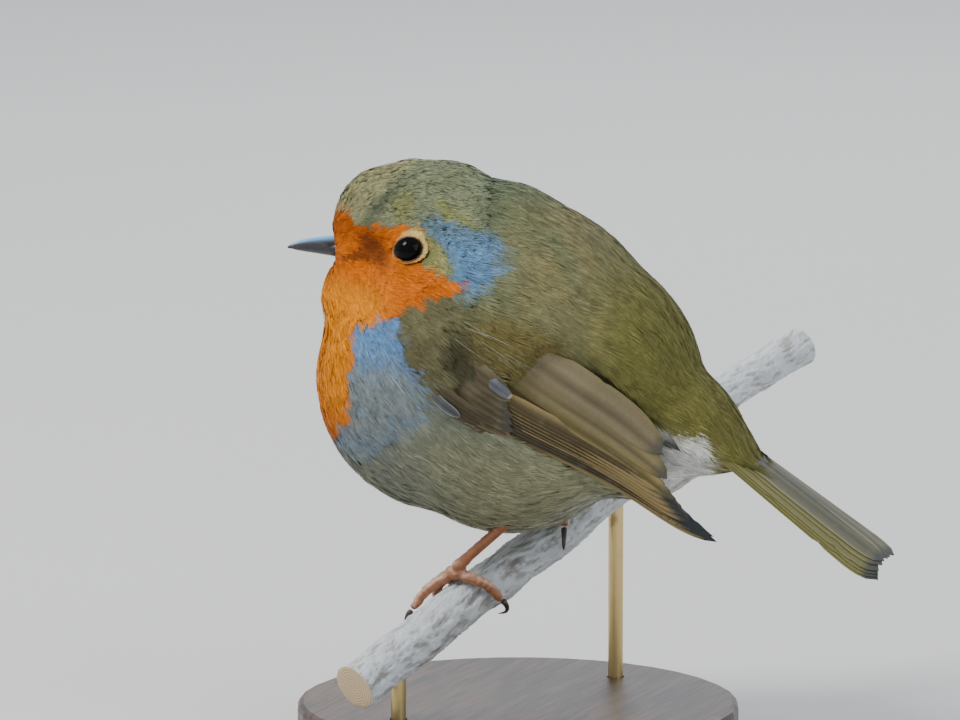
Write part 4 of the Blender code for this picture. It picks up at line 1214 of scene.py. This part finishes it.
def mandible(name, upper):
    t = np.linspace(0, 1, 15)
    length = BILL_LENGTH if upper else BILL_LENGTH - 0.7
    forward = BILL_TIP[0] - BILL_LENGTH + length * t
    level = BILL_TIP[2] - 1.2 * (1 - t) - 0.3 * t**4 - (0.1 if upper else 0.02)
    centres = np.array([head_to_body(f, 0, u) for f, u in zip(forward, level)])
    right = np.tile(head_to_body(0, 1, 0) - HEAD_CENTRE, (15, 1))
    up = np.tile(np.array((0.0, 0, 1)), (15, 1))
    taper = 0.09 + 0.91 * (1 - t) ** 0.58
    depth = BILL_DEPTHS[upper]

    def section(k, x, y):
        dome = np.sign(y) * np.abs(y) ** 0.9
        tall = np.where(y > 0, depth if upper else 0.3, 0.3 if upper else depth)
        narrow = 1 - 0.22 * np.abs(y) if upper else 1 - 0.3 * np.abs(y)
        return x * BILL_HALF_WIDTH * taper[k] * narrow, dome * tall * taper[k]

    piece = lofted(name, centres, right, up, section, 20)
    modified(piece, ("SUBSURF", {"levels": 2, "render_levels": 2}))
    places = vertices_of(piece)
    normals = normals_of(piece)
    forward, left, up = head_coordinates(places)
    behind = forward - NOSTRIL[0]
    pit = np.hypot(behind, (up - NOSTRIL[1] + 0.12 * behind) / 0.40)
    pit = pit if upper else pit + 9
    set_vertices(piece, places - normals * (0.28 * smooth(pit, 1.25, 0.45))[:, None])
    # The colour channels keep how far each place faces up, for the painted sky reflection on the upward
    # faces.
    paint(piece, np.repeat(normals[:, 2:] * 0.5 + 0.5, 3, 1), smooth(pit, 1.1, 0.5))
    use(piece)
    bpy.ops.object.shade_smooth()
    return piece


def horn_finish():
    made = Finish("bill_horn", Coat_Weight=0.35, Coat_Roughness=0.18)
    marks = made.node("VertexColor", {"layer_name": "plumage"})
    pit = marks.output("Alpha")
    # Painted sky reflection: faces turned up are painted sky blue over the dark horn.
    painted_sky_reflection = made.step(made.node("SeparateColor", Color=marks), 0.70, 0.92)
    streak = made.noise(300, 4, made.place((6, 1, 6), (0, 0, -HEAD_YAW)))
    tone = made.mix(painted_sky_reflection, (0.020, 0.021, 0.025, 1), (0.13, 0.47, 0.88, 1))
    tone = made.mix(made.step(streak, 0.5, 0.75) * 0.4, tone, (0.10, 0.10, 0.10, 1))
    tone = made.mix(pit, tone, (0.004, 0.004, 0.005, 1))
    return made.finish(Base_Color=tone, Roughness=0.3 + streak * 0.25, Normal=made.bump(streak, 0.00006, 0.4))


horn = horn_finish()
for name, upper in (("bill_upper_horn", True), ("bill_lower_horn", False)):
    bill = mandible(name, upper)
    bill.data.materials.append(horn)
    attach(bill, "root")
    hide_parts("bill_upper" if upper else "bill_lower")

# ----------------------------------------------------------------------------------------------------
# Eyes. Large dark balls, set deep, almost black with a brown iris, under a wet clear cornea, and held
# by two thin bare lids whose edge is beaded.


def eye_finish():
    made = Finish("eye", Roughness=0.03, IOR=1.30, Specular_IOR_Level=0.22)
    facing = made.node("VertexColor", {"layer_name": "plumage"}).output("Alpha")
    rays = made.noise(900, 3)
    iris = made.mix(rays, (0.010, 0.004, 0.002, 1), (0.030, 0.012, 0.005, 1))
    tone = made.mix(made.step(facing, 0.84, 0.88), iris, (0.002, 0.002, 0.002, 1))
    return made.finish(Base_Color=made.mix(made.step(facing, 0.72, 0.66), tone, (0.004, 0.003, 0.003, 1)))


def lid_finish():
    made = Finish("eyelid", Roughness=0.55)
    grain = made.noise(2600, 3)
    tone = made.mix(made.step(grain, 0.35, 0.7), (0.020, 0.015, 0.011, 1), (0.09, 0.06, 0.03, 1))
    return made.finish(Base_Color=tone, Normal=made.bump(grain, 0.00006, 0.8))


eye_material, lid_material = eye_finish(), lid_finish()
for eye, axis, word in zip(EYES, EYE_AXES, ("left", "right")):
    axis = Vector(unit(axis))
    turn = axis.to_track_quat("Z", "Y").to_euler()
    deselect()
    bpy.ops.mesh.primitive_uv_sphere_add(segments=48, ring_count=32, radius=EYE_RADIUS * MM,
                                         location=to_world(eye), rotation=turn)
    ball = bpy.context.object
    ball.name = ball.data.name = "eyeball_" + word
    bpy.ops.object.transform_apply(location=True, rotation=True, scale=True)
    places = vertices_of(ball)
    facing = ((places - eye) / EYE_RADIUS) @ np.array(axis)
    bulge = smooth(facing, 0.72, 1.0) * 0.12
    set_vertices(ball, places + np.outer(bulge, axis))
    paint(ball, np.zeros((len(places), 3)), facing * 0.5 + 0.5)
    use(ball)
    bpy.ops.object.shade_smooth()
    ball.data.materials.append(eye_material)
    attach(ball, "root")
    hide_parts("eye_" + word)
    deselect()
    bpy.ops.mesh.primitive_torus_add(major_segments=80, minor_segments=12, major_radius=1.0, minor_radius=0.1)
    lid = bpy.context.object
    lid.name = lid.data.name = "eyelid_" + word
    ring = rows_of(lid, "co").astype(float)
    angle = np.arctan2(ring[:, 1], ring[:, 0])
    tube_out, tube_up = np.hypot(ring[:, 0], ring[:, 1]) - 1, ring[:, 2]
    long, short = eye_frame(np.array(axis))
    rim = np.outer(np.cos(angle), long) * EYE_OPENING[0] + np.outer(np.sin(angle), short) * EYE_OPENING[1]
    height = np.sqrt(EYE_RADIUS**2 - np.sum(rim**2, 1)) + 0.12
    stout = 1.7 + 0.2 * np.sin(angle * 31) + 0.15 * np.sin(angle * 13 + 1)
    middle = eye + rim + np.outer(height, axis)
    set_vertices(lid, middle + unit(rim) * (tube_out * stout)[:, None] + np.outer(tube_up * stout, axis))
    use(lid)
    bpy.ops.object.shade_smooth()
    lid.data.materials.append(lid_material)
    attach(lid, "root")

# ----------------------------------------------------------------------------------------------------
# Finest feathers of the head and shoulder: the ring of tiny cream plumes on the lids, the stiff dark
# bristles at the gape, and the long pale hair-like plumes that lie over the shoulder.


def hairs(name, lines, ups, thick, colours, jitter=0.12):
    """Single fine barbs along given lines."""
    count, stations = lines.shape[:2]
    blades = unit(np.cross(ups, np.gradient(lines, axis=1)))
    half = thick / 2 * np.linspace(1, 0, stations) ** 0.6 * rng.uniform(0.75, 1.25, (count, 1))
    colours = colours * rng.normal(1, jitter, (count, 1))
    return strands(name, lines, blades, ups, half, colours, lines[:, 0], rng.uniform(-1, 1, count))


RING_PLUMES = 1200
RING_STEPS = 4                          # points on each plume
RING_HEIGHTS = (0.12, -0.35)            # of their two rows, above and below the lids' edge
RING_CREAM = np.array((0.70, 0.50, 0.18))
RING_WARM = np.array((0.55, 0.19, 0.02))


for eye, axis, word in zip(EYES, EYE_AXES, ("left", "right")):
    axis = unit(axis)
    long, short = eye_frame(axis)
    angle = np.sort(rng.uniform(0, 2 * math.pi, RING_PLUMES))
    rear = smooth(np.cos(angle - 0.4), -0.5, 0.75)
    rim = np.outer(np.cos(angle), long * EYE_OPENING[0]) + np.outer(np.sin(angle), short * EYE_OPENING[1])
    out = unit(rim)
    rim_height = np.sqrt(EYE_RADIUS**2 - np.sum(rim**2, 1))
    start = eye + rim * rng.uniform(1.02, 1.12, (RING_PLUMES, 1))
    start = start + np.outer(rim_height + rng.choice(RING_HEIGHTS, RING_PLUMES), axis)
    length = (0.36 + 1.1 * rear) * rng.uniform(0.8, 1.2, RING_PLUMES)
    swept = unit(out + 0.35 * long + rng.normal(0, 0.12, (RING_PLUMES, 3)))
    lines = np.zeros((RING_PLUMES, RING_STEPS, 3))
    ups = np.zeros((RING_PLUMES, RING_STEPS, 3))
    for k in range(RING_STEPS):
        guess = start + swept * (length * k / (RING_STEPS - 1))[:, None]
        for i in range(RING_PLUMES):
            found, up, _, _ = outer_tree.find_nearest(guess[i])
            lift = 0.10 + 0.05 * k
            lines[i, k] = np.array(found + up * lift) if k else guess[i]
            ups[i, k] = up if k else axis
    tint = RING_WARM + (RING_CREAM - RING_WARM) * rear[:, None]
    hairs("eye_ring_plumes_" + word, lines, ups, 0.13, tint, 0.18)

BRISTLE_COLOUR = (0.02, 0.016, 0.012)
bristles = []
for side in (-1, 1):
    for i in range(9):
        t = np.linspace(0, 1, 5)[:, None]
        base = head_to_body(15.2 - 0.35 * i, side * (1.9 + 0.12 * i), -0.9 + 0.18 * (i % 4))
        aim = head_to_body(3.0, side * (1.2 + 0.15 * i), -0.9 + 0.25 * (i % 3)) - HEAD_CENTRE
        bristles.append(base + aim * t * (0.75 + 0.05 * i) + np.array((0, 0, -0.7)) * t**2)
bristles = np.array(bristles)
across = np.tile(head_to_body(0, 0, 1) - HEAD_CENTRE, bristles.shape[:2] + (1,))
tint = np.tile(BRISTLE_COLOUR, (len(bristles), 1))
hairs("gape_bristles", bristles, across, 0.09, tint)

HAIR_PLUMES = 14                        # on each side
HAIR_COLOUR = (0.26, 0.28, 0.22)


def below_ear(p, side):
    """Weight for the roots of the hair-like plumes: a slanting band behind the ear on one side."""
    forward, _, up = head_coordinates(p)
    band = smooth(np.abs(up + 9.8 - 0.42 * (forward + 6)), 2.5, 1.5) * (forward < -5.5) * (forward > -25)
    return band * (p[:, 0] * side > 12)


plume_lines, plume_ups = [], []
arch = np.sin(np.linspace(0, math.pi, LIE_STEPS))[None, :]
for side in (-1, 1):
    places, normals = scatter(HAIR_PLUMES, lambda p: below_ear(p, side))
    centres, ups = lay(places, normals, rng.uniform(5, 10, HAIR_PLUMES), 0.07)
    rise = 0.35 + 0.45 * arch * rng.uniform(0.5, 1.3, (HAIR_PLUMES, 1))
    plume_lines.append(centres + ups * rise[..., None])
    plume_ups.append(ups)
plume_lines, plume_ups = np.concatenate(plume_lines), np.concatenate(plume_ups)
tint = np.tile(HAIR_COLOUR, (len(plume_lines), 1))
hairs("hair_plumes", plume_lines, plume_ups, 0.08, tint)

# ----------------------------------------------------------------------------------------------------
# Claws. Eight curved claws of black horn, sharp at the tip. Each is drawn back towards the end of its toe,
# and still stands about half a millimetre clear of it and a little clear of the bark.


def claw_finish():
    made = Finish("claw_horn", Coat_Weight=0.3, Coat_Roughness=0.2)
    streak = made.noise(900, 3, made.place((1, 1, 0.4)))
    tone = made.mix(streak, (0.012, 0.010, 0.009, 1), (0.060, 0.045, 0.035, 1))
    return made.finish(Base_Color=tone, Roughness=0.25 + streak * 0.25)


CLAW_SEATED = 0.45                      # how far a claw is drawn back towards its toe
claw_material = claw_finish()
for word in ("left", "right"):
    for toe in ("inner", "middle", "outer", "hind"):
        node = "claw_" + toe + "_" + word
        claw = copied("claw_horn_" + toe + "_" + word, [node])
        places = vertices_of(claw)
        foot = vertices_of(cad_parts["foot_" + word])
        gaps = np.array([np.min(np.linalg.norm(foot - p, axis=1)) for p in places])
        tip, seat = places[np.argmax(gaps)], places[gaps < gaps.min() + 0.4].mean(0)
        stout = 1 + 0.25 * smooth(np.linalg.norm(places - tip, axis=1), 0, 3)
        set_vertices(claw, seat + (places - seat) * stout[:, None] - unit(tip - seat) * CLAW_SEATED)
        modified(claw, ("SUBSURF", {"levels": 2, "render_levels": 2}))
        use(claw)
        bpy.ops.object.shade_smooth()
        claw.data.materials.append(claw_material)
        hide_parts(node)
        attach(claw, "root")

# ----------------------------------------------------------------------------------------------------
# Perch. A cut length of a weathered branch: silvery grey bark with long furrows, small cracks and a few
# dormant buds, sawn square at both ends.

# Dormant buds: place along the branch, turn round it and size.
BUDS = ((-24, 1.9, 1.1), (-13, -0.4, 0.8), (11, 1.2, 0.9), (63, 0.9, 1.2), (80, -1.0, 0.9))
perch = modified(copied("perch_bark", ["perch"]), ("REMESH", {"mode": "VOXEL", "voxel_size": 0.00034}),
                 ("SMOOTH", {"factor": 0.5, "iterations": 4}))
places = vertices_of(perch)
normals = normals_of(perch)
station, turn, reach = perch_coordinates(places)


def bark_wave(stretch, size, seed):
    """Unevenness that runs lengthwise along the branch."""
    sway = turn + 0.12 * np.sin(station * 0.21) + 0.05 * np.sin(station * 0.67 + 1)
    return wobble(np.stack((np.cos(sway) * 5, np.sin(sway) * 5, station * stretch), 1), size, seed)


ribs = 1 - np.abs(bark_wave(0.16, 2.6, 21))
flakes = bark_wave(0.35, 1.5, 22)
fine = bark_wave(0.8, 0.9, 23)
swell = bark_wave(1.0, 15, 24)
bark_height = 0.12 * ribs + 0.10 * flakes + 0.07 * fine + 0.28 * swell - 0.15
for at, bud_turn, size in BUDS:
    gap = np.hypot((station - at) / 1.6, np.angle(np.exp(1j * (turn - bud_turn))) * 4.4) / size
    bark_height += 0.55 * size * np.exp(-gap**2) - 0.25 * np.exp(-((gap - 1.6) * 2) ** 2)
end = np.abs(normals @ np.append(PERCH_DIRECTION * 0.93, 0.36)) > 0.8
from_end = np.minimum(station - PERCH_RISE[0][0] - 0.5, PERCH_RISE[-1][0] - 0.5 - station)
barky = np.where(end, 0.0, smooth(from_end, 0, 1.2))
set_vertices(perch, places + normals * (bark_height * barky)[:, None])
depth_of_bark = 0.6 * ribs + 0.45 * flakes + 0.3 * fine
shade = np.stack((smooth(depth_of_bark, -0.9, 0.9), smooth(swell, -1, 1), np.where(end, 1.0, 0.0)), 1)
paint(perch, shade, reach / 5)


def bark_finish():
    made = Finish("weathered_bark")
    marks = made.node("VertexColor", {"layer_name": "plumage"})
    parts = made.node("SeparateColor", Color=marks)
    ridge, fine, cut = (parts.output(name) for name in ("Red", "Green", "Blue"))
    grain = made.noise(420, 6, made.place((0.3, 1.6, 1.6), (0, 0, -PERCH_HEADING)))
    lichen = made.noise(90, 5)
    speck = made.noise(1300, 3)
    silver = made.mix(grain, (0.34, 0.36, 0.37, 1), (0.74, 0.79, 0.82, 1))
    grey = made.mix(grain, (0.25, 0.245, 0.23, 1), (0.46, 0.47, 0.46, 1))
    tone = made.mix(made.step(ridge + grain * 0.3, 0.35, 0.85), grey, silver)
    tone = made.mix(made.step(ridge, 0.12, 0.04) * 0.3, tone, (0.045, 0.038, 0.030, 1))
    tone = made.mix(made.step(lichen + fine * 0.1, 0.60, 0.70) * 0.25, tone, (0.26, 0.22, 0.18, 1))
    tone = made.mix(made.step(speck, 0.60, 0.72) * 0.25, tone, (0.12, 0.11, 0.10, 1))
    rings = marks.math("SINE", marks.output("Alpha") * 62.0 + lichen * 6.0) * 0.5 + 0.5
    wood = made.mix(rings, (0.42, 0.29, 0.16, 1), (0.66, 0.52, 0.34, 1))
    height = grain * 0.7 + speck * 0.3
    return made.finish(Base_Color=made.mix(cut, tone, wood), Roughness=0.78 + speck * 0.15,
                       Normal=made.bump(height, 0.0003, 0.7))


use(perch)
bpy.ops.object.shade_smooth()
perch.data.materials.append(bark_finish())
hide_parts("perch")
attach(perch, "root")

# ----------------------------------------------------------------------------------------------------
# Stand. A turned round base in dark stained wood with two short brass rods let into it. It is a plain
# museum stand: nothing of it belongs to the bird.


def wood_finish():
    made = Finish("stained_wood", Coat_Weight=0.25, Coat_Roughness=0.25)
    warp = made.noise(14, 2)
    grain = made.noise(60, 8, made.place((1, 9, 1)))
    pore = made.noise(700, 4, made.place((0.12, 1.6, 1)))
    rings = made.step(grain + warp * 0.3, 0.5, 0.85)
    tone = made.mix(rings, (0.020, 0.010, 0.006, 1), (0.085, 0.042, 0.022, 1))
    tone = made.mix(made.step(pore, 0.58, 0.68) * 0.6, tone, (0.010, 0.006, 0.004, 1))
    return made.finish(Base_Color=tone, Roughness=0.34 + pore * 0.2, Normal=made.bump(pore, 0.00008, 0.4))


def brass_finish():
    made = Finish("dull_brass", Metallic=1.0)
    brush = made.noise(900, 4, made.place((1, 1, 0.04)))
    spots = made.noise(240, 5)
    tone = made.mix(brush, (0.50, 0.36, 0.14, 1), (0.80, 0.62, 0.30, 1))
    tone = made.mix(made.step(spots, 0.58, 0.7) * 0.5, tone, (0.22, 0.14, 0.06, 1))
    return made.finish(Base_Color=tone, Roughness=0.24 + spots * 0.25, Normal=made.bump(brush, 0.00003, 0.4))


for name, make, slot in (("stand_base", wood_finish, "stand_base"),
                         ("stand_rod_front", brass_finish, "stand_rod"),
                         ("stand_rod_rear", brass_finish, "stand_rod")):
    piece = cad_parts[name]
    piece.data.materials.clear()
    piece.data.materials.append(make())
    use(piece)
    bpy.ops.object.shade_smooth_by_angle(angle=math.radians(35))

# ----------------------------------------------------------------------------------------------------
# Studio. A plain pale floor, three soft square lamps and an even pale sky, and a camera with a long lens
# level with the bird's left side.

deselect()
bpy.ops.mesh.primitive_circle_add(vertices=96, radius=16.0, fill_type="NGON", location=(0, 0, -0.0003))
floor = bpy.context.object
floor.name = "floor"
studio = Finish("pale_floor")
studio_noise = studio.noise(3.0, 2)
floor_tone = studio.mix(studio_noise, (0.60, 0.60, 0.59, 1), (0.64, 0.64, 0.63, 1))
floor.data.materials.append(studio.finish(Base_Color=floor_tone, Roughness=0.85 + studio_noise * 0.1))

AZIMUTH = math.radians(112.0)
ELEVATION = math.radians(10.0)
LENS = 417.0
DISTANCE = 2.202
AIM = (-4.95, -0.99)                    # of the camera, right of and above the middle of the trunk
toward = Vector((math.sin(AZIMUTH) * math.cos(ELEVATION), -math.cos(AZIMUTH) * math.cos(ELEVATION),
                 math.sin(ELEVATION)))
rightward = Vector((math.cos(AZIMUTH), math.sin(AZIMUTH), 0))
upward = toward.cross(rightward)
target = Vector((0, 0, TRUNK_HEIGHT * MM)) + rightward * AIM[0] * MM + upward * AIM[1] * MM


def lamp(name, direction, distance, size, power, colour):
    data = bpy.data.lights.new(name, "AREA")
    data.size = size
    data.energy = power
    data.color = colour
    light = bpy.data.objects.new(name, data)
    bpy.context.scene.collection.objects.link(light)
    direction = direction.normalized()
    light.location = target + direction * distance
    light.rotation_euler = direction.to_track_quat("Z", "Y").to_euler()


lamp("key", toward * 0.5 - rightward * 0.8 + upward * 0.95, 1.1, 0.4, 12, (1.0, 0.97, 0.93))
lamp("fill", toward * 0.8 + rightward * 0.9 + upward * 0.5, 1.3, 0.9, 5.5, (0.94, 0.97, 1.0))
lamp("rim", toward * -0.8 + rightward * 0.2 + upward * 1.0, 1.2, 0.6, 7, (1.0, 1.0, 1.0))

world = bpy.data.worlds.new("studio")
world.use_nodes = True
world.node_tree.nodes["Background"].inputs["Color"].default_value = (0.86, 0.92, 1.0, 1)
world.node_tree.nodes["Background"].inputs["Strength"].default_value = 0.68
bpy.context.scene.world = world

camera_data = bpy.data.cameras.new("camera")
camera_data.lens = LENS
camera_data.sensor_width = 36.0
camera_data.clip_end = 60.0
camera = bpy.data.objects.new("camera", camera_data)
bpy.context.scene.collection.objects.link(camera)
camera.location = target + toward * DISTANCE
camera.rotation_euler = toward.to_track_quat("Z", "Y").to_euler()
bpy.context.scene.camera = camera
